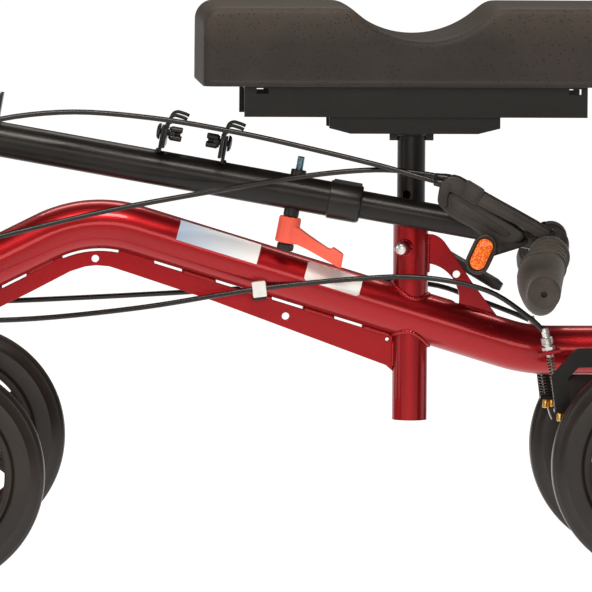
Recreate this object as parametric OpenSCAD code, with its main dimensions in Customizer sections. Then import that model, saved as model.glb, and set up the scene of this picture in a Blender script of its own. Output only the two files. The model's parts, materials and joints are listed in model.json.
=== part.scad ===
// Folding knee scooter, shown folded: the steering column lies back along the frame.
// +X points to the rear, +Z up, Y = 0 is the frame's middle plane and Z = 0 is the ground.

/* [Wheels] */
// Diameter of every wheel
wheel_d = 203.2; // [196:0.2:208]
// Width of every tyre
tyre_w = 30; // [26:1:32]
// Distance between the front and the rear axle
wheelbase = 645; // [635:1:660]
// Distance between the middles of the front wheels
front_track = 408; // [400:1:420]
// Distance between the middles of the rear wheels
rear_track = 222; // [220:1:230]
// Diameter of the axles
axle_d = 12; // [10:0.5:13]

/* [Frame] */
// Diameter of the main frame tube
tube_d = 44.5; // [42:0.5:46]
// Wall of the main frame tube
tube_wall = 2; // [1.5:0.1:3]
// Slope of the tube behind the head tube, in degrees
front_slope = 26.5; // [25:0.5:28]
// Slope of the tube down to the rear, in degrees
back_slope = 17; // [16:0.2:18]
// Height of the main tube's middle line where it meets the head tube
head_z = 253.6; // [250:0.2:258]
// Height of the main tube's middle line at the rear
rear_z = 197.4; // [194:0.2:200]
// Thickness of the gusset plates
gusset_t = 5; // [3:0.5:6]

/* [Seat] */
// Distance of the seat post behind the middle of the object
seat_x = 110; // [106:1:114]
// Outer diameter of the seat socket
socket_d = 31.8; // [30:0.1:34]
// Diameter of the seat post
post_d = 25.4; // [24:0.1:26]
// Length of the knee pad
pad_len = 392; // [380:1:400]
// Width of the knee pad
pad_w = 165; // [150:1:180]
// Height of the knee pad's underside
pad_z = 440.4; // [438:0.2:444]
// Thickness of the knee pad
pad_h = 72; // [66:1:76]

/* [Steering column] */
// Turn of the front wheels and column about the steering axis, in degrees
steer = 5; // [4.5:0.1:6]
// Height of the fold pivot
fold_z = 396.8; // [395:0.2:399]
// Drop of the folded column towards the rear, in degrees
fold_drop = 9.8; // [9.6:0.1:10]
// Diameter of the outer column
column_d = 31.8; // [30:0.1:33]
// Distance of the handlebar from the fold pivot
bar_a = 557; // [550:1:566]
// Diameter of the handlebar
bar_d = 22.2; // [20:0.1:24]
// Sweep of the handlebar's ends towards the rider, in degrees
bar_sweep = 16; // [12:1:20]

/* [Hidden] */
$fn = 48;
wheel_r = wheel_d / 2;
front_reach = front_track / 2 * sin(steer) + wheel_r * cos(steer) + tyre_w * 0.2 * sin(steer);
x_front = -(wheelbase + wheel_r - front_reach) / 2;
x_rear = x_front + wheelbase;
run = 0.05;                 // radial clearance of a shaft that turns in its bore
gap = 0.3;                  // clearance between pieces of different bodies
axle_r = axle_d / 2;
hub_half = 17;              // half of a hub's width

// main tube's middle line: up to the crest, down past the seat, level to the rear
crest = [-182, head_z + (-182 - x_front) * tan(front_slope)];
crest_r = 110;
sag = [crest[0] + (crest[1] - rear_z) / tan(back_slope), rear_z];
sag_r = 140;
crest_mid = 90 + (front_slope - back_slope) / 2;
crest_c = crest - crest_r / cos((front_slope + back_slope) / 2) * [cos(crest_mid), sin(crest_mid)];
sag_c = sag + sag_r / cos(back_slope / 2) * [cos(90 - back_slope / 2), sin(90 - back_slope / 2)];
cross_x = 318;              // transverse tube at the frame's rear end
cross_r = 19;
head_r = 23.5;              // head tube
function back_run_z(x) = crest[1] - (x - crest[0]) * tan(back_slope);

// ---------- places ----------

module steered() translate([x_front, 0, 0]) rotate([0, 0, -steer]) children();

// along the folded column: X along it from the fold pivot, Y to the left, Z to its upper side
module on_column() steered() translate([0, 0, fold_z]) rotate([0, fold_drop, 0]) children();

// along one end of the handlebar, Z outwards; side -1 is the scooter's right
module on_bar_end(side) on_column() mirror([0, side > 0 ? 1 : 0, 0])
  translate([bar_a, -45, 0]) rotate([90 + bar_sweep, 0, 0]) children();

// a round bar in the XZ plane between two points
module xz_bar(p, q, r) {
  d = q - p;
  translate([p[0], 0, p[1]]) rotate([0, atan2(d[0], d[1]), 0]) cylinder(h = norm(d), r = r);
}

// a bend in the XZ plane about c, from angle a0 through sweep
module xz_bend(c, bend_r, a0, sweep, r)
  translate([c[0], 0, c[1]]) rotate([90, 0, 0]) rotate([0, 0, a0])
    rotate_extrude(angle = sweep, $fn = 96) translate([bend_r, 0]) circle(r);

// an outline drawn in X and Z, t thick and centred on y
module xz_plate(points, t, y = 0)
  translate([0, y + t / 2, 0]) rotate([90, 0, 0]) linear_extrude(t) polygon(points);

// a cylinder along Y, centred on y
module y_cyl(x, z, r, len, y = 0)
  translate([x, y + len / 2, z]) rotate([90, 0, 0]) cylinder(h = len, r = r);

function arc_points(c, r, a0, a1, n) = [for (i = [0 : n])
  let (a = a0 + (a1 - a0) * i / n) [c[0] + r * cos(a), c[1] + r * sin(a)]];

// ---------- frame ----------

crest_in = crest_c + crest_r * [cos(90 + front_slope), sin(90 + front_slope)];
crest_out = crest_c + crest_r * [cos(90 - back_slope), sin(90 - back_slope)];
sag_in = sag_c + sag_r * [cos(-90 - back_slope), sin(-90 - back_slope)];
sag_out = sag_c - [0, sag_r];

// straight lengths run 1 mm into the bends, whose walls are a little thicker
module hollow_bar(p, q) {
  along = (q - p) / norm(q - p);
  difference() {
    xz_bar(p - along, q + along, tube_d / 2);
    xz_bar(p - 3 * along, q + 3 * along, tube_d / 2 - tube_wall);
  }
}

module hollow_bend(c, bend_r, a0, sweep)
  translate([c[0], 0, c[1]]) rotate([90, 0, 0]) rotate([0, 0, a0])
    rotate_extrude(angle = sweep, $fn = 96) translate([bend_r, 0]) difference() {
      circle(tube_d / 2 + 0.1);
      circle(tube_d / 2 - tube_wall - 0.1);
    }

module main_tube() color("firebrick") difference() {
  union() {
    hollow_bar([x_front, head_z], crest_in);
    hollow_bend(crest_c, crest_r, 90 - back_slope, front_slope + back_slope);
    hollow_bar(crest_out, sag_in);
    hollow_bend(sag_c, sag_r, -90 - back_slope, back_slope);
    hollow_bar(sag_out, [cross_x - 4, rear_z]);
  }
  translate([x_front, 0, head_z - 60]) cylinder(h = 120, r = head_r);
  translate([seat_x, 0, back_run_z(seat_x) - 60]) cylinder(h = 120, r = socket_d / 2);
  y_cyl(cross_x, rear_z, cross_r, 120);
}

// the tube's underside in the middle plane, down from its middle line, from the front to x
function under_front(down) = crest_in + (([x_front, head_z] - crest_in) * 0.93)
  + down * [sin(front_slope), -cos(front_slope)];
function under_tube(down, x) = concat([under_front(down)],
  arc_points(crest_c, crest_r - down, 90 + front_slope, 90 - back_slope, 14),
  [[x, back_run_z(x) - down / cos(back_slope)]]);
plate_touch = sqrt(pow(tube_d / 2, 2) - pow(gusset_t / 2, 2));

slot_h = 2.3;               // height of the gaps left between the gusset's welds
module run_slot(x0, x1) xz_plate([for (p = [[x0, slot_h], [x1, slot_h], [x1, -3], [x0, -3]])
  [p[0], back_run_z(p[0]) - (plate_touch + p[1]) / cos(back_slope)]], 20);
function front_run_z(x) = head_z + (x - x_front) * tan(front_slope);

module lower_gusset() color("firebrick") difference() {
  xz_plate(concat(under_tube(plate_touch, 94.1),
    [[94.1, 178.1], [88, 183.4], [-70, 241.9], [-126.6, 260.7], [-150, 268.4], [-164, 272.8], [-176, 273.8],
     [-186, 272.6], [-199, 268.4], [-217, 259], [-235, 249.5], [x_front + 23.2, 222]]), gusset_t);
  for (x = [[-123, -98], [-67, -43], [-16, 12], [41, 66]]) run_slot(x[0], x[1]);
  xz_plate(concat(arc_points(crest_c, crest_r - plate_touch + 3, 113, 79, 8),
                  arc_points(crest_c, crest_r - plate_touch - slot_h, 79, 113, 8)), 20);
  xz_plate([for (p = [[-261, slot_h], [-239, slot_h], [-239, -3], [-261, -3]])
    [p[0], front_run_z(p[0]) - (plate_touch + p[1]) / cos(front_slope)]], 20);
  y_cyl(-176.6, 279.8, 3.4, 20);
  y_cyl(-3.5, 227.8, 3.4, 20);
  y_cyl(89, 207, 1.6, 20);
}

function over_tube(x) = [x, back_run_z(x) + plate_touch / cos(back_slope)];
module rear_gusset() color("firebrick") difference() {
  xz_plate(concat([[seat_x + 15.7, 303]], arc_points([126, 284], 19, 80, 40, 5),
           [[151, 281.5], [167.6, 257.1], [176.4, 245.4], over_tube(189), over_tube(seat_x + 15.7)]),
           gusset_t);
  translate([121.5, 10, 243.5]) rotate([90, 0, 0]) cylinder(h = 20, r = 33);
  y_cyl(151.8, 266.3, 3.4, 20);
}

socket_bottom = 134;
socket_top = 322;
screw_turn = 25;            // the locating screw's turn from straight right, in degrees
screw_z = 291.2;
hole_pitch = 24;            // between the post's height holes

// Z along the clamp's axis, outwards on the right for side -1 and on the left for side 1
module on_clamp(side) translate([seat_x, 0, screw_z]) rotate([0, 0, -screw_turn])
  rotate([-side * 90, 0, 0]) children();

module seat_socket() color("firebrick") difference() {
  union() {
    translate([seat_x, 0, socket_bottom]) cylinder(h = socket_top - socket_bottom, r = socket_d / 2);
    on_clamp(-1) cylinder(h = 25, r = 6.5);
    on_clamp(1) cylinder(h = 26, r = 7.5);
  }
  translate([seat_x, 0, socket_bottom - 1])
    cylinder(h = socket_top - socket_bottom + 2, r = post_d / 2 + run);
  on_clamp(-1) cylinder(h = 40, r = 4);
  on_clamp(1) cylinder(h = 40, r = 4 + run);
}

module seat_locating_screw() color("gainsboro") on_clamp(-1) {
  translate([0, 0, post_d / 2 + 0.4]) cylinder(h = 26.2 - post_d / 2, r = 4);
}

module head_tube() color("firebrick") translate([x_front, 0, 0]) difference() {
  translate([0, 0, 205]) cylinder(h = 98, r = head_r);
  translate([0, 0, 204]) cylinder(h = 100, r = 17);
}

stem_r = 14.3;
module headset_cups() color("dimgray") translate([x_front, 0, 0]) for (up = [0, 1])
  translate([0, 0, up ? 303 : 205]) mirror([0, 0, 1 - up]) difference() {
    union() {
      translate([0, 0, -12]) cylinder(h = 12, r = 17);
      cylinder(h = 5, r = head_r);
    }
    translate([0, 0, -13]) cylinder(h = 20, r = stem_r + run);
  }

arm_pivot = [302, 198];
plate_y = 53.5;             // middle of each rear side plate
axle_tube_half = rear_track / 2 - hub_half - gap;
module rear_axle_bracket() color("firebrick") difference() {
  union() {
    y_cyl(cross_x, rear_z, cross_r, 2 * plate_y);
    y_cyl(x_rear, wheel_r, 12.7, 2 * axle_tube_half);
    for (side = [-1, 1]) {
      xz_plate([[cross_x - 26, 214], [cross_x + 16, 216], [cross_x + 22, 208], [x_rear + 15, wheel_r + 6],
                [x_rear + 12, wheel_r - 14], [x_rear - 12, wheel_r - 14], [x_rear - 17, wheel_r + 10],
                [cross_x - 26, 188]], 5, side * plate_y);
      y_cyl(arm_pivot[0], arm_pivot[1], 8, 19, side * (plate_y + 12));
    }
  }
  y_cyl(cross_x, rear_z, cross_r - 2.5, 2 * plate_y - 5);
  y_cyl(x_rear, wheel_r, axle_r + run, 300);
}

axle_end = 10;              // length of each axle end outside the hub
module rear_axle() color("silver") y_cyl(x_rear, wheel_r, axle_r, rear_track + 2 * (hub_half + axle_end));

module axle_nuts(x_half) for (side = [-1, 1]) difference() {
  translate([0, side * (x_half + hub_half + gap + 4), 0]) rotate([90, 0, 0]) {
    cylinder(h = 8, r = 10.5, center = true, $fn = 6);
  }
  y_cyl(0, 0, axle_r, 600);
}

module rear_axle_nuts() color("silver") translate([x_rear, 0, wheel_r]) axle_nuts(rear_track / 2);

stop_y = 71;
stop = [230.5, 202.5];      // where each brake cable's outer ends, in X and Z
stop_lean = 12;             // the cable's lean from upright there, in degrees

// Z along a cable's end at its stop, upwards
module at_stop(side) translate([stop[0], side * stop_y, stop[1]]) rotate([0, -stop_lean, 0]) children();

module cable_stop_bracket() color("firebrick") difference() {
  union() {
    for (side = [-1, 1]) {
      at_stop(side) translate([-10, -9, -3]) cube([20, 18, 3]);
      at_stop(side) translate([-1, side > 0 ? -49 : 9, -3]) cube([10, 40, 3]);
    }
  }
  for (side = [-1, 1]) at_stop(side) translate([0, 0, -5]) cylinder(h = 10, r = 3.3);
}

module cable_adjusters() color("gainsboro") for (side = [-1, 1]) at_stop(side) difference() {
  union() {
    translate([0, 0, -3]) cylinder(h = 10, r = 3.2);
    cylinder(h = 3, r = 5.5, $fn = 6);
    translate([0, 0, 4.5]) cylinder(h = 8, r = 5);
    translate([0, 0, 12.5]) cylinder(h = 8, r = 3.4);
  }
  translate([0, 0, -6]) cylinder(h = 22, r = 1.1);
  translate([0, 0, 14.5]) cylinder(h = 8, r = 2.6);
}

clip = [-29, -22, 254.4];   // on the right cable, low on the tube's right side
clip_rise = 7;              // the cable's slope there, in degrees
module cable_clip() color("whitesmoke") difference() {
  translate(clip) rotate([0, -clip_rise, 0]) difference() {
    translate([-6, -4, -7.5]) cube([12, 12, 14]);
    rotate([0, 90, 0]) cylinder(h = 20, r = cable_r + run, center = true);
  }
  xz_bar([clip[0] - 30, back_run_z(clip[0] - 30)], [clip[0] + 30, back_run_z(clip[0] + 30)], tube_d / 2);
}

// ---------- seat ----------

module seat_post() color("dimgray") difference() {
  translate([seat_x, 0, 170]) cylinder(h = 264, r = post_d / 2);
  translate([seat_x, 0, 169]) cylinder(h = 262, r = post_d / 2 - 1.8);
  for (i = [-4 : 2]) translate([seat_x, 0, screw_z + i * hole_pitch]) rotate([0, 0, -screw_turn])
    rotate([90, 0, 0]) cylinder(h = 40, r = 4.2, center = true);
}

channel_x0 = -44.5;
channel_x1 = 266.5;
channel_w = 80;
module seat_plate() color("dimgray") difference() {
  union() {
    for (side = [-1, 1])
      xz_plate([[33.7, 410], [33.7, 400], [53, 395], [169, 395], [189, 400], [189, 410], [176, 437], [46, 437]],
               3, side * 20);
    translate([46, -21.5, 434]) cube([130, 43, 3]);
    translate([53, -21.5, 395]) cube([116, 43, 3]);
    translate([seat_x - 20, -1.5, 388]) cube([40, 3, 8]);
  }
  translate([seat_x, 0, 380]) cylinder(h = 54, r = post_d / 2);
}

module seat_channel() color("black") difference() {
  translate([channel_x0, -channel_w / 2, 411])
    cube([channel_x1 - channel_x0, channel_w, 29]);
  translate([channel_x0 - 1, -channel_w / 2 + 2.5, 410])
    cube([channel_x1 - channel_x0 + 2, channel_w - 5, 27]);
  for (x = [-28, 255.2]) translate([x - 5.5, -60, 432]) cube([11, 120, 5]);
  for (x = [-10, 232], y = [-22, 22]) translate([x, y, 430]) cylinder(h = 20, r = 3.2);
}

pad_dip = 30;
pad_dip_half = 69;
function pad_top(u) = let (k = abs(u - 4) / pad_dip_half)
  k >= 1 ? pad_h : pad_h - pad_dip * (0.5 + 0.5 * cos(180 * k));
module seat_pad() color("darkslategray") difference() {
  xz_half = pad_len / 2;
  xz_plate([for (p = concat(
      [[-xz_half + 1, 0], [-xz_half + 4, pad_h - 14], [-xz_half + 9, pad_h - 5], [-xz_half + 18, pad_h]],
      [for (u = [-66 : 11 : 74]) [u, pad_top(u)]],
      [[xz_half - 18, pad_h], [xz_half - 9, pad_h - 5], [xz_half - 4, pad_h - 14], [xz_half - 1, 0]]))
      [seat_x + 1 + p[0], pad_z + p[1]]], pad_w);
  for (x = [-10, 232], y = [-22, 22]) translate([x, y, pad_z - 1]) cylinder(h = 13, r = 3);
}

module seat_bolts() color("silver") for (x = [-10, 232], y = [-22, 22]) translate([x, y, 0]) {
  translate([0, 0, 432.9]) cylinder(h = 4, r = 6, $fn = 6);
  translate([0, 0, 436]) cylinder(h = 14, r = 3);
}

lever_drop = 28;            // the seat lever's slope below level, in degrees
lever_out = 42;             // from the post's axis to the lever's inner face
lever_reach = 76;
lever_tip_r = 5.2;          // half the width of the lever's handle
module seat_clamp_lever() color("black") on_clamp(1) {
  translate([0, 0, post_d / 2 + 0.4]) cylinder(h = lever_out - post_d / 2, r = 4);
  translate([0, 0, lever_out - 12]) cylinder(h = 18, r = 9);
  rotate([0, 0, 180 + lever_drop]) translate([0, 0, lever_out]) hull() {
    translate([-4, 0, 0]) cylinder(h = 6, r = lever_tip_r, $fn = 32);
    translate([-lever_reach, 0, 2]) cylinder(h = 6, r = lever_tip_r, $fn = 32);
  }
}

// ---------- wheels ----------

module on_wheel(place) {
  if (place == "rr") translate([x_rear, -rear_track / 2, wheel_r]) children();
  if (place == "rl") translate([x_rear, rear_track / 2, wheel_r]) children();
  if (place == "fr") steered() translate([0, -front_track / 2, wheel_r]) children();
  if (place == "fl") steered() translate([0, front_track / 2, wheel_r]) children();
}

tyre_edge = wheel_r - 12;   // radius where the tyre's bevel starts
module wheel_tyre(place) color("black") on_wheel(place) rotate([90, 0, 0])
  rotate_extrude($fn = 96) polygon([[75, -tyre_w / 2], [tyre_edge, -tyre_w / 2], [wheel_r - 2.6, -tyre_w * 0.3],
    [wheel_r, -tyre_w * 0.2], [wheel_r, tyre_w * 0.2], [wheel_r - 2.6, tyre_w * 0.3],
    [tyre_edge, tyre_w / 2], [75, tyre_w / 2]]);

spokes = 6;
module wheel_rim(place) color("dimgray") on_wheel(place) rotate([90, 0, 0]) difference() {
  union() {
    rotate_extrude($fn = 96) polygon([[66, -11], [75, -13], [75, 13], [66, 11]]);
    cylinder(h = 2 * hub_half, r = 21, center = true);
    for (i = [0 : spokes - 1]) rotate([0, 0, 360 / spokes * (i + 0.5)])
      translate([43, 0, 0]) cube([50, 15, 14], center = true);
  }
  cylinder(h = 100, r = 14, center = true);
}

bearing_r = 14;
module wheel_bearings(place) color("silver") on_wheel(place) rotate([90, 0, 0])
  for (side = [-1, 1]) translate([0, 0, side * (hub_half - 4)]) difference() {
    cylinder(h = 8, r = bearing_r, center = true);
    cylinder(h = 9, r = axle_r + run, center = true);
  }

// ---------- front steering ----------

beam_r = 15.9;
module steering_stem() color("dimgray") steered() difference() {
  union() {
    translate([0, 0, wheel_r]) cylinder(h = 206.8, r = stem_r);
    translate([0, 0, 192]) cylinder(h = 7.7, r = 20);
  }
  translate([0, 0, wheel_r - 1]) cylinder(h = 220, r = stem_r - 3);
  y_cyl(0, wheel_r, beam_r, 100);
}

module front_axle_beam() color("firebrick") steered() difference() {
  union() {
    y_cyl(0, wheel_r, beam_r, front_track - 2 * hub_half - 2 * gap);
    for (side = [-1, 1]) mirror([0, side > 0 ? 1 : 0, 0])
      translate([-2.5, 0, 0]) rotate([90, 0, 90]) linear_extrude(5)
        polygon([[-stem_r - 1, wheel_r + 12], [-80, wheel_r + 12], [-stem_r - 1, wheel_r + 60]]);
  }
  y_cyl(0, wheel_r, axle_r + run, 500);
}

module front_axle() color("silver") steered()
  y_cyl(0, wheel_r, axle_r, front_track + 2 * (hub_half + axle_end));

module front_axle_nuts() color("silver") steered() translate([0, 0, wheel_r]) axle_nuts(front_track / 2);

cheek = 5;                  // thickness of the yoke's side plates
foot_half = column_d / 2 + 0.2;
module fold_yoke() color("dimgray") steered() difference() {
  union() {
    translate([0, 0, 308.4]) cylinder(h = 12, r = 24);
    translate([-20, -foot_half - gap - cheek, 316]) cube([40, 2 * (foot_half + gap + cheek), 10]);
    for (side = [-1, 1]) {
      translate([-20, side * (foot_half + gap + cheek / 2) - cheek / 2, 316]) cube([40, cheek, fold_z - 316]);
      y_cyl(0, fold_z, 20, cheek, side * (foot_half + gap + cheek / 2));
    }
    y_cyl(12, 350, 9, 14, foot_half + gap + cheek + 7);
  }
  y_cyl(0, fold_z, axle_r, 100);
  y_cyl(12, 350, 5 + run, 60, foot_half + gap + 30);
  translate([0, 0, 300]) cylinder(h = 8.4, r = stem_r);
}

module fold_pin() color("silver") steered() translate([0, 0, fold_z]) difference() {
  union() {
    y_cyl(0, 0, axle_r, 2 * (foot_half + gap + cheek) + 16);
    y_cyl(0, 0, 10, 6, -(foot_half + gap + cheek + 3));
    translate([0, foot_half + gap + cheek + 4, 0]) rotate([90, 0, 0])
      cylinder(h = 8, r = 10.5, center = true, $fn = 6);
  }
}

// a spring plunger through the yoke's left cheek, pulled out to free the column
module fold_plunger() color("silver") steered() {
  y_cyl(12, 350, 5, 34, foot_half + gap + 18);
  y_cyl(12, 350, 11, 12, foot_half + gap + cheek + 14 + gap + 6.4);
}

// ---------- column ----------

collar_a = 353;
module outer_column() color("dimgray") on_column() rotate([0, 90, 0]) difference() {
  translate([0, 0, 24]) cylinder(h = collar_a - 24, r = column_d / 2);
  translate([0, 0, 38]) cylinder(h = collar_a, r = 12.7 + run);
  translate([0, 0, 23]) cylinder(h = 20, r = 11);
}

module column_foot() color("dimgray") on_column() difference() {
  union() {
    y_cyl(0, 0, column_d / 2, 2 * foot_half);
    rotate([0, 90, 0]) cylinder(h = 24, r = column_d / 2);
    rotate([0, 90, 0]) cylinder(h = 37, r = 11);
  }
  y_cyl(0, 0, axle_r + run, 100);
}

module column_collar() color("black") on_column() rotate([0, 90, 0]) difference() {
  translate([0, 0, collar_a]) cylinder(h = 30, r = 17.5);
  translate([0, 0, collar_a - 1]) cylinder(h = 32, r = 12.7 + run);
}

module hook_plate(a) translate([a, 0, 0]) {
  translate([-1.5, -33, 20]) cube([3, 66, 22]);
  for (side = [-1, 1]) translate([-1.5, side * 30 - 3, 40]) {
    cube([3, 6, 15]);
    translate([0, 0, 12]) cube([16, 6, 3]);
  }
}

hook_plate_a = [196.8, 250.8];  // places along the column
hook_tab_a = [192.8, 254.8];
hook_tab = [3, 22, 31];
module basket_hooks() color("dimgray") on_column() difference() {
  union() {
    for (a = hook_plate_a) hook_plate(a);
    for (a = hook_tab_a) translate([a - hook_tab[0] / 2, -hook_tab[1] / 2, 8]) cube(hook_tab);
    translate([44, -13, 10]) cube([3, 26, 32]);  // cable guide
  }
  rotate([0, 90, 0]) cylinder(h = 500, r = column_d / 2);
  for (a = [192, 254]) translate([a, 0, 33]) rotate([0, 90, 0]) cylinder(h = 30, r = 3, center = true);
}

// a round-headed screw with a wing nut through a hook plate and its tab
module wing_screw() {
  translate([0, 0, -4]) cylinder(h = 4, r = 7.5);
  cylinder(h = 18, r = 3);
  translate([0, 0, 7.5]) cylinder(h = 6, r = 5.5);
  for (s = [-1, 1]) translate([s * 6 - 1.5, -2.5, 9]) cube([3, 5, 11]);
}

// the hooks' screws, and the clamp's stud above the column and screw below it
clamp_a = 322;
clamp_screw_r = 4;
clamp_boss_r = 7;
clamp_end = -53;            // lowest point of the clamp's screw
module column_fasteners() color("gray") on_column() {
  for (way = [0, 1]) translate([way ? 256.5 : 191, 0, 33]) mirror([way, 0, 0])
    rotate([0, 90, 0]) wing_screw();
  difference() {
    translate([clamp_a, 0, 0]) {
      cylinder(h = 21, r = clamp_boss_r);
      cylinder(h = 33, r = clamp_screw_r - 0.5);
      translate([0, 0, -21.7]) cylinder(h = 21.7, r = clamp_boss_r);
      translate([0, 0, clamp_end]) cylinder(h = -clamp_end, r = clamp_screw_r);
      translate([0, 0, clamp_end]) cylinder(h = 6.7, r = 8, $fn = 6);
    }
    rotate([0, 90, 0]) cylinder(h = bar_a, r = column_d / 2);
  }
}

module column_clamp_lever() color("orangered") on_column() translate([clamp_a, 0, 0]) difference() {
  union() {
    translate([0, 0, -46]) cylinder(h = 24, r = 10);
    translate([6, -7, -47]) rotate([0, 8, 0]) cube([47, 14, 12]);
  }
  translate([0, 0, -60]) cylinder(h = 60, r = clamp_screw_r + run);
  translate([0, 0, -60]) cylinder(h = 14, r = 9.5);
}

// ---------- handlebar ----------

module inner_column() color("dimgray") on_column() rotate([0, 90, 0]) difference() {
  translate([0, 0, 200]) cylinder(h = bar_a - 200 - bar_d / 2, r = 12.7);
  translate([0, 0, 199]) cylinder(h = bar_a, r = 10.9);
}

module bar_solid(r) {
  y_cyl(bar_a, 0, r, 90);
  for (side = [-1, 1]) mirror([0, side > 0 ? 1 : 0, 0]) translate([bar_a, -45, 0])
    rotate([90 + bar_sweep, 0, 0]) translate([0, 0, -4]) cylinder(h = 139, r = r);
}

module handlebar_tee() color("dimgray") on_column() difference() {
  union() {
    bar_solid(bar_d / 2);
    y_cyl(bar_a, 0, 15, 44);
  }
  rotate([0, 90, 0]) cylinder(h = bar_a - bar_d / 2, r = 14);
}

grip_from = 34;
module grip(side) color("darkgray") on_bar_end(side) difference() {
  union() {
    translate([0, 0, grip_from]) cylinder(h = 104, r = 16.5);
    translate([0, 0, grip_from]) cylinder(h = 6, r = 18.5);
    hull() {
      translate([-6, -9, 74]) cylinder(h = 40, r = 17, $fn = 32);
      translate([2, -16, 88]) cylinder(h = 34, r = 14, $fn = 32);
    }
  }
  translate([0, 0, grip_from - 1]) cylinder(h = 136 - grip_from, r = bar_d / 2);
}

lever_y = -60;              // middle of the brake lever, beside the column
lever_pivot = [464, 23];
module brake_housing() color("black") on_column() difference() {
  union() {
    translate([0, lever_y + 12, 0]) rotate([90, 0, 0]) linear_extrude(24)
      polygon([[450, 20], [450, 32], [455, 41], [461, 44.5], [472, 41.8], [488, 35.5], [543, 17], [556, 12],
               [556, -2], [545, 3], [492, 22], [472, 31], [456, 32]]);
    for (side = [-1, 1]) translate([0, lever_y + side * 10.5 + 1.5, 0]) rotate([90, 0, 0])
      linear_extrude(3) polygon([[450, 20], [450, 34], [474, 34], [472, 20], [464, 14]]);
    translate([bar_a, -45, 0]) rotate([90 + bar_sweep, 0, 0])
      translate([0, 0, 4]) cylinder(h = 28, r = 16);
  }
  bar_solid(bar_d / 2);
  y_cyl(lever_pivot[0], lever_pivot[1], 2.5, 60, lever_y);
  for (s = [-1, 1]) translate([444, lever_y + s * 5, 38.2 + s * 2.2]) rotate([0, 90, 0]) cylinder(h = 20, r = 3);
}

module brake_lever() color("black") on_column() difference() {
  union() {
    y_cyl(lever_pivot[0], lever_pivot[1], 6, 17, lever_y);
    translate([0, lever_y + 8.5, 0]) rotate([90, 0, 0]) linear_extrude(17)
      polygon([[458, 22], [466, 28], [492, 15], [512, 2], [524, -3], [520, -10], [505, -12], [488, -6],
               [470, 3], [459, 13]]);
    y_cyl(502, -8, 5, 20, lever_y - 14);
    y_cyl(497, -19, 11, 8, lever_y - 24);
    translate([497, lever_y - 20, -19]) rotate([90, 0, 0]) rotate([0, 0, 75]) linear_extrude(8)
      union() {
        square([16, 22], center = true);
        for (s = [-1, 1]) translate([s * 8, 0]) circle(11);
      }
    y_cyl(lever_pivot[0], lever_pivot[1], 2.5 - run, 24, lever_y);
  }
  translate([497, lever_y - 25.5, -19]) rotate([90, 0, 0]) rotate([0, 0, 75]) linear_extrude(8) union() {
    square([15, 15], center = true);
    for (s = [-1, 1]) translate([s * 7.5, 0]) circle(7.5);
  }
}

module reflector() color("orange") on_column()
  translate([497, lever_y - 25.5, -19]) rotate([90, 0, 0]) rotate([0, 0, 75]) linear_extrude(3.2) union() {
    square([15, 14.8], center = true);
    for (s = [-1, 1]) translate([s * 7.5, 0]) circle(7.4);
  }

// ---------- rear brakes ----------

arm_y = 78;
tab_z = 147;
shoe = [340, 214];
module brake_arm(side) color("dimgray") difference() {
  union() {
    xz_plate([[256, 205], [252, 202.5], [231.7, 180], [236, 148], [247.2, 147.5], [249.4, 157.7], [247, 177.7],
              [256.4, 187.7], [292, 189], [312, 189], [344, 205], [344, 220], [334, 220], [306, 206.5]],
             4, side * arm_y);
    y_cyl(shoe[0], shoe[1], 8, 50, side * (arm_y + 22.5));
    translate([235.5, side > 0 ? 64 : -80, tab_z]) cube([11.5, 16, 3]);
  }
  y_cyl(arm_pivot[0], arm_pivot[1], 4 + run, 20, side * arm_y);
  translate([241, side * stop_y, 140]) cylinder(h = 20, r = 1.4);
}

module brake_pivot_bolts() color("silver") for (side = [-1, 1]) {
  y_cyl(arm_pivot[0], arm_pivot[1], 4, 9, side * (arm_y + 1));
  y_cyl(arm_pivot[0], arm_pivot[1], 7, 4, side * (arm_y + 4.4));
}

// return spring between the stop and the arm's tab
module brake_spring(side) color("silver") difference() {
  translate([232, side * stop_y, 197.2]) rotate([0, 180 - stop_lean + 1, 0]) difference() {
    cylinder(h = 46, r = 3.8);
    translate([0, 0, -1]) cylinder(h = 48, r = 2.2);
  }
}

module cable_nut(side) color("goldenrod") for (d = [0, 1])
  translate([241 + d * 5, side * stop_y, tab_z - 8 + d]) cylinder(h = 8 - d, r = d ? 1.8 : 3);

// ---------- cables ----------

cable_r = 2.4;
// the right cable, from the lever's housing forward over the column, round the head and back to its stop
cable_right_route = [
  [133.5, -104.5, 354.8], [112, -101.5, 360.5], [75, -93, 370.5], [21, -81, 383], [-50, -66, 398],
  [-131, -57, 411], [-212, -55, 415.5], [-290, -60, 403], [-350, -68, 370], [-384, -75, 318],
  [-374, -78, 262], [-326, -74, 233], [-250, -63, 229], [-138, -38, 238], [-29, -22, 254.4],
  [65, -37, 265], [121, -51, 266.5], [175, -64.5, 256], [212, -70.5, 232.5], [227, -71, 218.5]];
// the left cable, from the housing past the head's right and front to the far side's stop
cable_left_route = [
  [135, -94.5, 359.3], [113, -92.5, 363.5], [71, -88, 366.5], [9, -76, 360], [-85, -55, 342.6],
  [-161, -50, 328], [-231, -54, 312], [-300, -62, 294], [-352, -52, 272], [-375, -20, 253],
  [-371, 22, 241], [-334, 50, 236], [-261, 52, 237], [-152, 41, 243], [-50, 42, 249],
  [50, 48, 255.5], [130, 54, 253.5], [175, 64, 239], [207, 69.5, 227], [227, 71, 218.5]];

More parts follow.
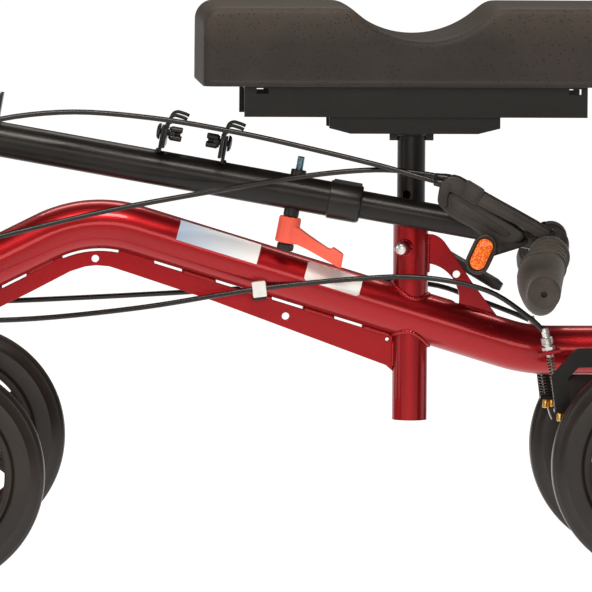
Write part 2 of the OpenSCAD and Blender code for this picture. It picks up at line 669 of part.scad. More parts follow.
function unit(v) = v / norm(v);
function tangent(p, i) = unit(p[min(i + 1, len(p) - 1)] - p[max(i - 1, 0)]);
function ring(p, i, r, n) = let (t = tangent(p, i), u = unit(cross(t, [0, 0.2, 1])), w = cross(u, t))
  [for (k = [0 : n - 1]) p[i] + r * (cos(360 * k / n) * u + sin(360 * k / n) * w)];
module swept_tube(p, r, n) {
  m = len(p);
  points = [for (i = [0 : m - 1]) each ring(p, i, r, n)];
  walls = [for (i = [0 : m - 2], k = [0 : n - 1])
    [i * n + k, i * n + (k + 1) % n, (i + 1) * n + (k + 1) % n, (i + 1) * n + k]];
  ends = [[for (k = [n - 1 : -1 : 0]) k], [for (k = [0 : n - 1]) (m - 1) * n + k]];
  polyhedron(points, concat(walls, ends), convexity = 10);
}
// one point between each pair, on a smooth curve through the route
function smooth(p) = [for (i = [0 : len(p) - 1]) each i == len(p) - 1 ? [p[i]] :
  [p[i], (p[i] + p[i + 1]) * 0.5625 - (p[max(i - 1, 0)] + p[min(i + 2, len(p) - 1)]) * 0.0625]];

main_tube();
lower_gusset();
rear_gusset();
seat_socket();
head_tube();
headset_cups();
rear_axle_bracket();
rear_axle();
rear_axle_nuts();
cable_stop_bracket();
cable_adjusters();
cable_clip();
seat_locating_screw();
brake_pivot_bolts();
color("black") swept_tube(smooth(cable_right_route), cable_r, 8);  // brake_cable_right
color("black") swept_tube(smooth(cable_left_route), cable_r, 8);  // brake_cable_left
seat_post();
seat_plate();
seat_channel();
seat_pad();
seat_bolts();
seat_clamp_lever();
wheel_tyre("rr");  // rear_tyre_right
wheel_rim("rr");  // rear_rim_right
wheel_tyre("rl");  // rear_tyre_left
wheel_rim("rl");  // rear_rim_left
wheel_tyre("fr");  // front_tyre_right
wheel_rim("fr");  // front_rim_right
wheel_tyre("fl");  // front_tyre_left
wheel_rim("fl");  // front_rim_left
wheel_bearings("rr");  // wheel_bearings_rr
wheel_bearings("rl");  // wheel_bearings_rl
wheel_bearings("fr");  // wheel_bearings_fr
wheel_bearings("fl");  // wheel_bearings_fl
steering_stem();
front_axle_beam();
front_axle();
front_axle_nuts();
fold_yoke();
fold_pin();
fold_plunger();
outer_column();
column_foot();
column_collar();
basket_hooks();
column_fasteners();
column_clamp_lever();
inner_column();
handlebar_tee();
grip(-1);  // grip_right
grip(1);  // grip_left
brake_housing();
brake_lever();
reflector();
brake_arm(-1);  // brake_arm_right
brake_arm(1);  // brake_arm_left
brake_spring(-1);  // brake_spring_right
brake_spring(1);  // brake_spring_left
cable_nut(-1);  // cable_nut_right
cable_nut(1);  // cable_nut_left
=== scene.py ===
"""Knee scooter, folded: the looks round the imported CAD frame. Lengths are millimetres till mesh_object()."""
import json
import math
from math import cos, pi, radians, sin, tan

import bmesh
import bpy
from mathutils import Matrix, Vector


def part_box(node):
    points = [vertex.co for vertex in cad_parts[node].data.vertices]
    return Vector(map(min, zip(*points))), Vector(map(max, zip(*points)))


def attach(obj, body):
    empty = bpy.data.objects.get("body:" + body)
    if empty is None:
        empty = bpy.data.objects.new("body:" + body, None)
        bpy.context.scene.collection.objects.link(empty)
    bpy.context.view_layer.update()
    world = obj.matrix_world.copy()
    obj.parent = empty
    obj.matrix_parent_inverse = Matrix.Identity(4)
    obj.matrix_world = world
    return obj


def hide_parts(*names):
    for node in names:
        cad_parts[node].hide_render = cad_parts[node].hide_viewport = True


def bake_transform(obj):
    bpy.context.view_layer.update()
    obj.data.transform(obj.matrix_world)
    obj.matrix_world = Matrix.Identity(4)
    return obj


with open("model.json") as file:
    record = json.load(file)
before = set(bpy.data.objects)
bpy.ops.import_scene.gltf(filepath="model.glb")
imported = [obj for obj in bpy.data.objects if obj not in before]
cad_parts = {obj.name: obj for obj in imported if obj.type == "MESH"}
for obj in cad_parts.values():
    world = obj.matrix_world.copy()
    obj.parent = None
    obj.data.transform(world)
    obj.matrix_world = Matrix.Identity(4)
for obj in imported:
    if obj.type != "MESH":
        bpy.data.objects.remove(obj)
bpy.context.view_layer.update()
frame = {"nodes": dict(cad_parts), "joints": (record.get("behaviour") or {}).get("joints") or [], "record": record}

MM = 0.001

# ---------- places, from the frame ----------


def middle(node):
    low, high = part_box(node)
    return (low + high) / (2 * MM)


def turn(degrees, axis):
    return Matrix.Rotation(radians(degrees), 4, axis)


def shift(x, y, z):
    return Matrix.Translation((x, y, z))


JOINTS = {joint["name"]: joint for joint in frame["joints"]}
X_FRONT = middle("head_tube").x
WHEEL_R = middle("rear_tyre_right").z
FOLD_Z = JOINTS["fold"]["pos_m"][2] / MM
FOLD_AXIS = JOINTS["fold"]["axis"]
STEER = math.degrees(math.atan2(FOLD_AXIS[0], FOLD_AXIS[1])) % 180
COLUMN_DROP = 9.8
BAR_A = 557
BAR_R = 11.1
BAR_SWEEP = 16
LEVER_Y = -60

WORLD = Matrix.Identity(4)
STEERED = shift(X_FRONT, 0, 0) @ turn(-STEER, "Z")
COLUMN = STEERED @ shift(0, 0, FOLD_Z) @ turn(COLUMN_DROP, "Y")
MIRROR_Y = Matrix.Scale(-1, 4, (0, 1, 0))


def bar_end(side):
    """Z outwards along one end of the handlebar; side -1 is the scooter's right."""
    flip = MIRROR_Y if side > 0 else WORLD
    return COLUMN @ flip @ shift(BAR_A, -45, 0) @ turn(90 + BAR_SWEEP, "X")


def on_wheel(node, steered):
    """Z outwards to the scooter's right along the wheel's axle."""
    c = middle(node)
    return shift(c.x, c.y, c.z) @ turn(-STEER if steered else 0, "Z") @ turn(90, "X")


# ---------- camera ----------


def make_camera():
    yaw, pitch, roll = radians(3.84), radians(4.28), radians(0.41)
    distance = 8.962
    target = Vector((0.006, 0, 0.2461))
    forward = Vector((sin(yaw) * cos(pitch), cos(yaw) * cos(pitch), -sin(pitch)))
    level = Vector((cos(yaw), -sin(yaw), 0))
    upright = Vector((sin(yaw) * sin(pitch), cos(yaw) * sin(pitch), cos(pitch)))
    right = level * cos(roll) + upright * sin(roll)
    up = upright * cos(roll) - level * sin(roll)
    data = bpy.data.cameras.new("camera")
    data.sensor_width = 36
    data.lens = 600.3
    data.clip_start, data.clip_end = 0.1, 100
    camera = bpy.data.objects.new("camera", data)
    bpy.context.scene.collection.objects.link(camera)
    facing = Matrix((right, up, -forward)).transposed().to_4x4()
    camera.matrix_world = Matrix.Translation(target - forward * distance) @ facing
    bpy.context.scene.camera = camera


make_camera()

# ---------- materials ----------


class Nodes:
    """A small builder round one material's node tree."""

    def __init__(self, name):
        self.material = bpy.data.materials.new(name)
        self.material.use_nodes = True
        self.tree = self.material.node_tree
        self.shader = self.tree.nodes["Principled BSDF"]
        self.coords = self.tree.nodes.new("ShaderNodeTexCoord").outputs["Object"]

    def add(self, kind, **values):
        node = self.tree.nodes.new(kind)
        for key, value in values.items():
            if key in node.inputs:
                node.inputs[key].default_value = value
            else:
                setattr(node, key, value)
        return node

    def link(self, out, into):
        self.tree.links.new(out, into)

    def noise(self, scale, detail=3.0, rough=0.55, stretch=None):
        node = self.add("ShaderNodeTexNoise", Scale=scale, Detail=detail, Roughness=rough)
        source = self.coords
        if stretch:
            mapping = self.add("ShaderNodeMapping")
            mapping.inputs["Scale"].default_value = stretch
            self.link(source, mapping.inputs["Vector"])
            source = mapping.outputs["Vector"]
        self.link(source, node.inputs["Vector"])
        return node.outputs["Fac"]

    def cells(self, scale):
        node = self.add("ShaderNodeTexVoronoi", Scale=scale)
        node.feature = "F1"
        self.link(self.coords, node.inputs["Vector"])
        return node.outputs["Distance"]

    def ramp(self, fac, stops):
        node = self.add("ShaderNodeValToRGB")
        for i, (at, colour) in enumerate(stops):
            stop = node.color_ramp.elements[i] if i < 2 else node.color_ramp.elements.new(at)
            stop.position = at
            stop.color = (*colour, 1)
        self.link(fac, node.inputs["Fac"])
        return node.outputs["Color"]

    def mix(self, fac, a, b):
        node = self.add("ShaderNodeMix", data_type="RGBA")
        self.link(fac, node.inputs[0])
        self.link(a, node.inputs[6])
        self.link(b, node.inputs[7])
        return node.outputs[2]

    def spread(self, fac, low, high):
        node = self.add("ShaderNodeMapRange")
        node.inputs["To Min"].default_value = low
        node.inputs["To Max"].default_value = high
        self.link(fac, node.inputs["Value"])
        return node.outputs["Result"]

    def bump(self, height, strength, distance, under=None):
        node = self.add("ShaderNodeBump", Strength=strength, Distance=distance)
        self.link(height, node.inputs["Height"])
        if under:
            self.link(under, node.inputs["Normal"])
        return node.outputs["Normal"]

    def set(self, **values):
        for key, value in values.items():
            name = key.replace("_", " ")
            if isinstance(value, bpy.types.NodeSocket):
                self.link(value, self.shader.inputs[name])
            else:
                self.shader.inputs[name].default_value = value


def scaled(colour, k):
    return tuple(min(1, c * k) for c in colour)


def candy_red():
    n = Nodes("candy_red")
    flakes = n.noise(1500, 2, 0.7)
    clouds = n.noise(9, 2, 0.5)
    base = n.mix(clouds, n.ramp(flakes, [(0.3, (0.25, 0.003, 0.006)), (0.7, (0.40, 0.005, 0.010))]),
                 n.ramp(flakes, [(0.3, (0.29, 0.004, 0.007)), (0.7, (0.48, 0.007, 0.012))]))
    n.set(Base_Color=base, Metallic=0.8, Roughness=n.spread(clouds, 0.30, 0.40), Coat_Weight=0.5,
          Coat_Roughness=0.06,
          Normal=n.bump(n.noise(140, 2), 0.06, 0.0006))
    return n.material


def black_paint():
    n = Nodes("black_paint")
    dust = n.noise(26, 4, 0.6)
    base = n.ramp(dust, [(0.35, (0.0062, 0.005, 0.0042)), (0.75, (0.013, 0.0105, 0.0085))])
    n.set(Base_Color=base, Roughness=n.spread(dust, 0.24, 0.38), Specular_IOR_Level=0.3,
          Normal=n.bump(n.noise(420, 3), 0.12, 0.0004))
    return n.material


def moulded(name, colour, rough, grain=900, strength=0.18, cloud=14, wear_and_light_paling=1.5, sheen=0.0):
    """Satin moulded plastic or rubber: fine grain, soft dust and paler patches."""
    n = Nodes(name)
    dust = n.noise(cloud, 5, 0.62)
    speck = n.noise(grain * 0.5, 2, 0.8)
    base = n.mix(speck, n.ramp(dust, [(0.3, scaled(colour, 0.75)), (0.72, scaled(colour, wear_and_light_paling))]),
                 n.ramp(dust, [(0.3, colour), (0.72, scaled(colour, wear_and_light_paling * 1.15))]))
    n.set(Base_Color=base, Roughness=n.spread(dust, rough - 0.06, rough + 0.08), Specular_IOR_Level=0.38,
          Sheen_Weight=sheen,
          Normal=n.bump(n.noise(grain, 3, 0.7), strength, 0.0005))
    return n.material


def pad_skin():
    """Grained foam skin with dark pits, and upper edges made paler by painted light."""
    n = Nodes("pad_skin")
    dust = n.noise(9, 5, 0.6)
    pits = n.cells(260)
    grain = n.noise(850, 4, 0.75)
    split = n.add("ShaderNodeSeparateXYZ")
    n.link(n.coords, split.inputs[0])
    height = n.add("ShaderNodeMapRange")
    height.inputs["From Min"].default_value = 0.440
    height.inputs["From Max"].default_value = 0.512
    n.link(split.outputs["Z"], height.inputs["Value"])
    # Painted light: low is the colour lower down and high is a painted lit colour for the upper edges.
    low = n.ramp(dust, [(0.3, (0.017, 0.0125, 0.0105)), (0.75, (0.036, 0.0275, 0.0235))])
    high = n.ramp(dust, [(0.3, (0.038, 0.0295, 0.0225)), (0.75, (0.064, 0.050, 0.038))])
    # Painted light: this mask blends towards the lit colour with height, as if the top were lit from above.
    wear_and_light_paling = n.ramp(height.outputs["Result"], [(0.55, (0, 0, 0)), (0.98, (1, 1, 1))])
    dark = n.ramp(dust, [(0.3, (0.006, 0.005, 0.0042)), (0.75, (0.010, 0.008, 0.007))])
    pit_mask = n.ramp(pits, [(0.12, (0, 0, 0)), (0.26, (1, 1, 1))])
    n.set(Base_Color=n.mix(pit_mask, dark, n.mix(wear_and_light_paling, low, high)), Roughness=n.spread(grain, 0.5, 0.68),
          Specular_IOR_Level=0.35, Normal=n.bump(grain, 0.35, 0.0006, n.bump(pits, 0.2, 0.0008)))
    return n.material


def metal(name, colour, rough):
    n = Nodes(name)
    lines = n.noise(700, 3, 0.6)
    base = n.ramp(lines, [(0.3, scaled(colour, 0.82)), (0.7, colour)])
    n.set(Base_Color=base, Metallic=1.0, Roughness=n.spread(lines, rough - 0.06, rough + 0.1),
          Normal=n.bump(lines, 0.12, 0.0003))
    return n.material


def amber_lens():
    """Orange lens over a honeycomb of prisms, which glows with painted light."""
    n = Nodes("amber_lens")
    prisms = n.cells(620)
    glow = n.noise(70, 2, 0.5)
    base = n.mix(glow, n.ramp(prisms, [(0.1, (0.95, 0.15, 0.002)), (0.6, (0.50, 0.035, 0.001))]),
                 n.ramp(prisms, [(0.1, (1.0, 0.45, 0.01)), (0.6, (0.75, 0.09, 0.002))]))
    # Painted glow: the emission makes the lens shine in its own colour though it is no lamp.
    n.set(Base_Color=base, Roughness=0.2, Coat_Weight=0.6, Coat_Roughness=0.05, Emission_Color=base,
          Emission_Strength=0.25, Specular_IOR_Level=0.3, Normal=n.bump(prisms, 0.5, 0.0008))
    return n.material


def label_film(name, start, end, low, high):
    """A printed film that fades from start to end across x from low to high, in metres."""
    n = Nodes(name)
    split = n.add("ShaderNodeSeparateXYZ")
    n.link(n.coords, split.inputs[0])
    along = n.add("ShaderNodeMapRange")
    along.inputs["From Min"].default_value = low
    along.inputs["From Max"].default_value = high
    n.link(split.outputs["X"], along.inputs["Value"])
    paper = n.noise(500, 2)
    n.set(Base_Color=n.ramp(along.outputs["Result"], [(0, start), (1, end)]),
          Roughness=n.spread(paper, 0.3, 0.42))
    return n.material


RED = candy_red()
BLACK = black_paint()
PLASTIC = moulded("black_plastic", (0.0135, 0.0108, 0.009), 0.42, cloud=30, wear_and_light_paling=2.8)
SATIN = moulded("black_satin", (0.0075, 0.0062, 0.0052), 0.32, grain=600, strength=0.08, wear_and_light_paling=1.5)
RUBBER = moulded("grip_rubber", (0.019, 0.0145, 0.011), 0.6, grain=700, strength=0.3, cloud=34, wear_and_light_paling=3.0,
                 sheen=0.15)
TYRE = moulded("tyre_rubber", (0.0125, 0.0095, 0.0078), 0.34, grain=500, strength=0.12, wear_and_light_paling=1.9)
RIM = moulded("rim_plastic", (0.0145, 0.0112, 0.0092), 0.38, grain=800, strength=0.12, wear_and_light_paling=1.7)
CABLE = moulded("cable_sleeve", (0.008, 0.0066, 0.0056), 0.24, grain=300, strength=0.05, wear_and_light_paling=1.8)
ORANGE = moulded("orange_plastic", (0.95, 0.115, 0.070), 0.42, grain=900, strength=0.08, cloud=20, wear_and_light_paling=1.12)
WHITE = moulded("white_plastic", (0.74, 0.73, 0.70), 0.4, grain=500, strength=0.05, wear_and_light_paling=1.1)
PAD = pad_skin()
STEEL = metal("steel", (0.52, 0.50, 0.47), 0.32)
SPRING = metal("spring_steel", (0.20, 0.18, 0.155), 0.3)
ZINC = metal("zinc", (0.90, 0.90, 0.88), 0.34)
BLUE_ZINC = metal("blue_zinc", (0.55, 0.74, 0.84), 0.18)
BRASS = metal("brass", (0.85, 0.50, 0.12), 0.25)
AMBER = amber_lens()

# ---------- shapes: (points, faces) in millimetres ----------


def ring_faces(rings, sides, closed=False):
    """Quads between consecutive rings of points."""
    faces = []
    for i in range(rings if closed else rings - 1):
        a, b = i * sides, (i + 1) % rings * sides
        faces += [(a + k, a + (k + 1) % sides, b + (k + 1) % sides, b + k) for k in range(sides)]
    return faces


def loft(rings, closed=False):
    sides = len(rings[0])
    points = [tuple(p) for ring in rings for p in ring]
    faces = ring_faces(len(rings), sides, closed)
    if not closed:
        faces += [tuple(range(sides))[::-1], tuple(range(len(points) - sides, len(points)))]
    return points, faces


def revolve(profile, sides=64):
    """A closed outline of (radius, z) turned about Z."""
    rings = [[(r * cos(2 * pi * k / sides), r * sin(2 * pi * k / sides), z) for r, z in profile]
             for k in range(sides)]
    return loft(rings, closed=True)


def lathe(profile, sides=48):
    """A solid of revolution about Z whose outline starts and ends on the axis side, capped flat."""
    return loft([[(r * cos(2 * pi * k / sides), r * sin(2 * pi * k / sides), z) for k in range(sides)]
                 for r, z in profile])


def tangents(path):
    path = [Vector(p) for p in path]
    last = len(path) - 1
    return [(path[min(i + 1, last)] - path[max(i - 1, 0)]).normalized() for i in range(last + 1)]


def tube(path, radius, sides=16, up=(0, 0.2, 1)):
    """A round bar along a path; radius is a number or one number a point."""
    radii = radius if isinstance(radius, (list, tuple)) else [radius] * len(path)
    rings = []
    side = None
    for p, t, r in zip(path, tangents(path), radii):
        side = (t.cross(Vector(up)) if side is None else side - t * side.dot(t)).normalized()
        other = side.cross(t)
        rings.append([Vector(p) + r * (cos(2 * pi * k / sides) * side + sin(2 * pi * k / sides) * other)
                      for k in range(sides)])
    return loft(rings)


def strip(path, section, up=(0, 1, 0)):
    """An outline of (across, thick) swept along a path, across towards up."""
    rings = []
    for p, t in zip(path, tangents(path)):
        across = (Vector(up) - t * t.dot(Vector(up))).normalized()
        thick = t.cross(across)
        rings.append([Vector(p) + across * a + thick * b for a, b in section])
    return loft(rings)


def slab(w, t):
    return [(-w / 2, -t / 2), (w / 2, -t / 2), (w / 2, t / 2), (-w / 2, t / 2)]


def prism(outline, low, high):
    """An outline in X and Z, extruded along Y from low to high."""
    return loft([[(x, low, z) for x, z in outline], [(x, high, z) for x, z in outline]])


def moved(shape, matrix):
    points, faces = shape
    return [tuple(matrix @ Vector(p)) for p in points], faces


def joined(*shapes):
    points, faces = [], []
    for shape_points, shape_faces in shapes:
        start = len(points)
        points += shape_points
        faces += [tuple(start + i for i in face) for face in shape_faces]
    return points, faces


def bow(c, r, start, stop, n):
    """n + 1 points on an arc about c, angles in degrees."""
    return [(c[0] + r * cos(radians(start + (stop - start) * i / n)),
             c[1] + r * sin(radians(start + (stop - start) * i / n))) for i in range(n + 1)]


def smooth_path(points, steps=4):
    """Catmull-Rom through the points."""
    p = [Vector(q) for q in points]
    p = [2 * p[0] - p[1]] + p + [2 * p[-1] - p[-2]]
    out = []
    for i in range(1, len(p) - 2):
        for k in range(steps):
            t = k / steps
            a, b, c, d = p[i - 1:i + 3]
            out.append(0.5 * (2 * b + (c - a) * t + (2 * a - 5 * b + 4 * c - d) * t * t
                              + (3 * b - 3 * c + d - a) * t ** 3))
    return out + [p[-2]]


# ---------- pieces ----------


def mesh_object(name, points, faces, matrix):
    mesh = bpy.data.meshes.new(name)
    mesh.from_pydata([(matrix @ Vector(p)) * MM for p in points], [], faces)
    obj = bpy.data.objects.new(name, mesh)
    bpy.context.scene.collection.objects.link(obj)
    return obj


def tidy(obj, merge=0.000004):
    work = bmesh.new()
    work.from_mesh(obj.data)
    bmesh.ops.remove_doubles(work, verts=work.verts, dist=merge)
    bmesh.ops.recalc_face_normals(work, faces=work.faces)
    work.to_mesh(obj.data)
    work.free()


def applied(obj):
    """Turns the modifiers' result into the object's own mesh."""
    bpy.context.view_layer.update()
    done = bpy.data.meshes.new_from_object(obj.evaluated_get(bpy.context.evaluated_depsgraph_get()))
    obj.modifiers.clear()
    obj.data = done


def shade(obj, material, sharp=38):
    obj.data.materials.clear()
    obj.data.materials.append(material)
    obj.data.polygons.foreach_set("use_smooth", [True] * len(obj.data.polygons))
    obj.data.set_sharp_from_angle(angle=radians(sharp))


def round_edges(obj, width, segments=2, angle=35):
    bevel = obj.modifiers.new("bevel", "BEVEL")
    bevel.width = width * MM
    bevel.segments = segments
    bevel.limit_method = "ANGLE"
    bevel.angle_limit = radians(angle)
    bevel.use_clamp_overlap = True


def weigh_normals(obj):
    weighted = obj.modifiers.new("weighted", "WEIGHTED_NORMAL")
    weighted.keep_sharp = True


def make(name, shape, material, body, matrix=WORLD, replaces=(), bevel=0, segments=2, subdivide=0, sharp=38):
    """One finished piece, riding on its body."""
    obj = mesh_object(name, *shape, matrix)
    tidy(obj)
    if bevel:
        round_edges(obj, bevel, segments)
    if subdivide:
        sub = obj.modifiers.new("sub", "SUBSURF")
        sub.levels = sub.render_levels = subdivide
    if bevel or subdivide:
        applied(obj)
    shade(obj, material, sharp)
    if replaces:
        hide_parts(*replaces)
    if body:
        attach(obj, body)
    return obj


NODE_BODY = {node: body for body, nodes in frame["record"]["behaviour"]["bodies"].items() for node in nodes}


def soften(node, material, width=0.6):
    """A copy of a CAD node with rounded edges, which stands for it."""
    source = frame["nodes"][node]
    obj = bpy.data.objects.new(node + "_finished", source.data.copy())
    bpy.context.scene.collection.objects.link(obj)
    tidy(obj)
    work = bmesh.new()
    work.from_mesh(obj.data)
    bmesh.ops.dissolve_limit(work, angle_limit=radians(0.5), verts=work.verts, edges=work.edges)
    work.to_mesh(obj.data)
    work.free()
    shade(obj, material)
    round_edges(obj, width)
    weigh_normals(obj)
    applied(obj)
    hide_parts(node)
    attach(obj, NODE_BODY[node])
    return obj


def paint(material, *nodes):
    """Gives CAD nodes that stay as they are their finish."""
    for node in nodes:
        obj = frame["nodes"][node]
        for slot in obj.material_slots:
            slot.material = material


# ---------- main frame ----------

TUBE_R = 22.25
HEAD_Z = 253.6
REAR_Z = 197.4
FRONT_SLOPE = 26.5
BACK_SLOPE = 17
CREST = (-182, HEAD_Z + (-182 - X_FRONT) * tan(radians(FRONT_SLOPE)))
CREST_R = 110
SAG = (CREST[0] + (CREST[1] - REAR_Z) / tan(radians(BACK_SLOPE)), REAR_Z)
SAG_R = 140
CROSS_X = 318
SEAT_X = 110
SOCKET_R = 15.9
HEAD_R = 23.9


def back_run_z(x):
    return CREST[1] - (x - CREST[0]) * tan(radians(BACK_SLOPE))


def tube_line():
    """The main tube's middle line, in X and Z."""
    half = (FRONT_SLOPE + BACK_SLOPE) / 2
    lean = radians(90 + (FRONT_SLOPE - BACK_SLOPE) / 2)
    far = CREST_R / cos(radians(half))
    crest_c = (CREST[0] - far * cos(lean), CREST[1] - far * sin(lean))
    far = SAG_R / cos(radians(BACK_SLOPE / 2))
    lean = radians(90 - BACK_SLOPE / 2)
    sag_c = (SAG[0] + far * cos(lean), SAG[1] + far * sin(lean))
    return ([(X_FRONT + 12, HEAD_Z + 12 * tan(radians(FRONT_SLOPE)))]
            + bow(crest_c, CREST_R, 90 + FRONT_SLOPE, 90 - BACK_SLOPE, 24)
            + bow(sag_c, SAG_R, -90 - BACK_SLOPE, -90, 12) + [(CROSS_X - 10, REAR_Z)])


def weld_bead(path, size=2.1, pitch=2.4):
    """A bead of overlapping ripples along a path."""
    points = [Vector(p) for p in path]
    dense = []
    for a, b in zip(points, points[1:]):
        steps = max(1, round((b - a).length / (pitch / 4)))
        dense += [a.lerp(b, i / steps) for i in range(steps)]
    dense.append(points[-1])
    travelled, radii = 0, []
    for i, p in enumerate(dense):
        travelled += (p - dense[i - 1]).length if i else 0
        end = min(1, (i + 1) / 4, (len(dense) - i) / 4)
        radii.append(size * (0.8 + 0.2 * abs(sin(pi * travelled / pitch))) * end ** 0.5)
    return tube(dense, radii, sides=8)


def circle_on_tube(x, r, above):
    """Where an upright round post of radius r at x meets the sloping tube."""
    path = []
    for k in range(41):
        a = 2 * pi * k / 40
        px, py = x + r * cos(a), r * sin(a)
        rise = math.sqrt(max(0, TUBE_R ** 2 - py ** 2)) / cos(radians(BACK_SLOPE))
        path.append((px, py, back_run_z(px) + (rise if above else -rise)))
    return path


def make_frame():
    line = tube_line()
    make("main_tube_skin", tube([(x, 0, z) for x, z in line], TUBE_R, sides=72, up=(0, 1, 0)), RED, "frame",
         replaces=["main_tube"], sharp=60)
    for node in ("lower_gusset", "rear_gusset"):
        soften(node, RED, 0.9)
    for node in ("head_tube", "seat_socket"):
        soften(node, RED, 0.7)
    soften("rear_axle_bracket", RED, 0.8)
    soften("cable_stop_bracket", RED, 0.6)
    beads = [weld_bead(circle_on_tube(SEAT_X, SOCKET_R + 0.8, above), 2.4) for above in (True, False)]
    touch = math.sqrt(TUBE_R ** 2 - 2.5 ** 2)
    slope = radians(BACK_SLOPE)
    for x0, x1 in ((-97, -68), (-42, -17), (13, 40), (67, 92)):
        for side in (-1, 1):
            beads.append(weld_bead([(x, side * 3.6, back_run_z(x) - touch / cos(slope) - 1.2)
                                    for x in (x0, x1)], 2.4))
    front = radians(FRONT_SLOPE)
    for x0, x1 in ((-238, -214), (-288, -262)):
        for side in (-1, 1):
            beads.append(weld_bead([(x, side * 3.4,
                                     HEAD_Z + (x - X_FRONT) * tan(front) - touch / cos(front) + 0.4)
                                    for x in (x0, x1)], 2.2))
    for x0, x1 in ((128, 150), (160, 188)):
        for side in (-1, 1):
            beads.append(weld_bead([(x, side * 3.4, back_run_z(x) + touch / cos(slope) - 0.4)
                                    for x in (x0, x1)], 1.7))
    for side in (-1, 1):
        beads.append(weld_bead([(SEAT_X + SOCKET_R, side * 3.2, z) for z in (268, 301)], 1.8))
        beads.append(weld_bead([(SEAT_X - SOCKET_R, side * 3.2, z) for z in (183, 205)], 1.6))
    tilt = Matrix.Translation((X_FRONT, 0, HEAD_Z))
    head = []
    for s in (1, -1):
        for k in range(25):
            a = (-62 + 124 * k / 24) * s * pi / 180
            rise = 24.8 * math.sqrt(max(0, 1 - (HEAD_R * sin(a) / 25) ** 2))
            head.append((HEAD_R * cos(a), HEAD_R * sin(a), HEAD_R * cos(a) * tan(front) + s * rise))
    beads.append(weld_bead([tilt @ Vector(p) for p in head], 2.2))
    make("frame_welds", joined(*beads), RED, "frame", sharp=80)
    socket_lip = revolve([(12.75, 320.5), (15.9, 320.5), (16.5, 321.2), (16.5, 322.6), (15.9, 323),
                          (12.8, 323)], 64)
    make("socket_top_ring", moved(socket_lip, shift(SEAT_X, 0, 0)), RED, "frame")


SCREW_Z = 291.2          # height of the seat clamp's screws


def clamp_axis(side):
    return shift(SEAT_X, 0, SCREW_Z) @ turn(-25, "Z") @ turn(-side * 90, "X")


def make_seat_clamp():
    screw = lathe([(3.9, 13.4), (3.9, 25.6), (5.4, 25.8), (5.6, 27.2), (4.4, 28.6), (1.6, 29.3),
                   (0.01, 29.4)])
    make("locating_screw", screw, ZINC, "frame", clamp_axis(-1), replaces=["seat_locating_screw"])
    saddle = [(6.9 * cos(a), 6.9 * sin(a), 15.4 + 0.6 * cos(2 * a))
              for a in [2 * pi * k / 24 for k in range(25)]]
    make("clamp_boss_weld", weld_bead(saddle, 1.6), RED, "frame", clamp_axis(-1), sharp=80)
    reach, out = 74, 42
    rings = []
    for t in [i / 14 for i in range(15)]:
        along = -8 + (reach + 14) * t
        wide = (4.6 + 0.6 * t) * (1 if 0.03 < t < 0.97 else 0.72)
        thick = 3.6 * (1 if 0.03 < t < 0.97 else 0.6)
        rise = out + 3 + 2 * t
        rings.append([(along, wide * cos(a) * abs(cos(a)) ** -0.35 if abs(cos(a)) > 1e-6 else 0,
                       rise + thick * sin(a) * abs(sin(a)) ** -0.45 if abs(sin(a)) > 1e-6 else rise)
                      for a in [2 * pi * (k + 0.5) / 20 for k in range(20)]])
    handle = moved(loft(rings), turn(28, "Z"))
    hub = lathe([(4, 13.4), (4, 30), (8, 30), (9, 31), (9, 46), (8, 47.6), (5.2, 47.8), (4.8, 49),
                 (0.01, 49.2)])
    make("seat_clamp_handle", joined(handle, hub), PLASTIC, "seat_lever", clamp_axis(1),
         replaces=["seat_clamp_lever"], sharp=50)


# ---------- seat ----------

PAD_LEN, PAD_W, PAD_Z, PAD_H = 392, 165, 440.4, 72
# distances in from the pad's ends, closer together where the end curves
END_STEPS = (1.0, 1.4, 1.9, 2.6, 4.2, 6.8, 10.2, 14.5, 19, 24, 32)
# degrees round the pad's top edge, and the height of the seam there
EDGE_STEPS = ((0, 0), (14, 0), (28, 0), (38, 0.1), (44, 0.9), (50, 0.9), (56, 0.1), (68, 0), (80, 0), (90, 0))


def pad_top(u):
    """Height of the pad's upper face at u from its middle: a round knee dip with soft shoulders."""
    r, soft = 88, 7
    du = min(abs(u - 4), r)
    dip = PAD_H - 30 + r - math.sqrt(r * r - du * du)
    k = min(1, max(0, 0.5 + 0.5 * (dip - PAD_H) / soft))
    return dip + (PAD_H - dip) * k - soft * k * (1 - k)


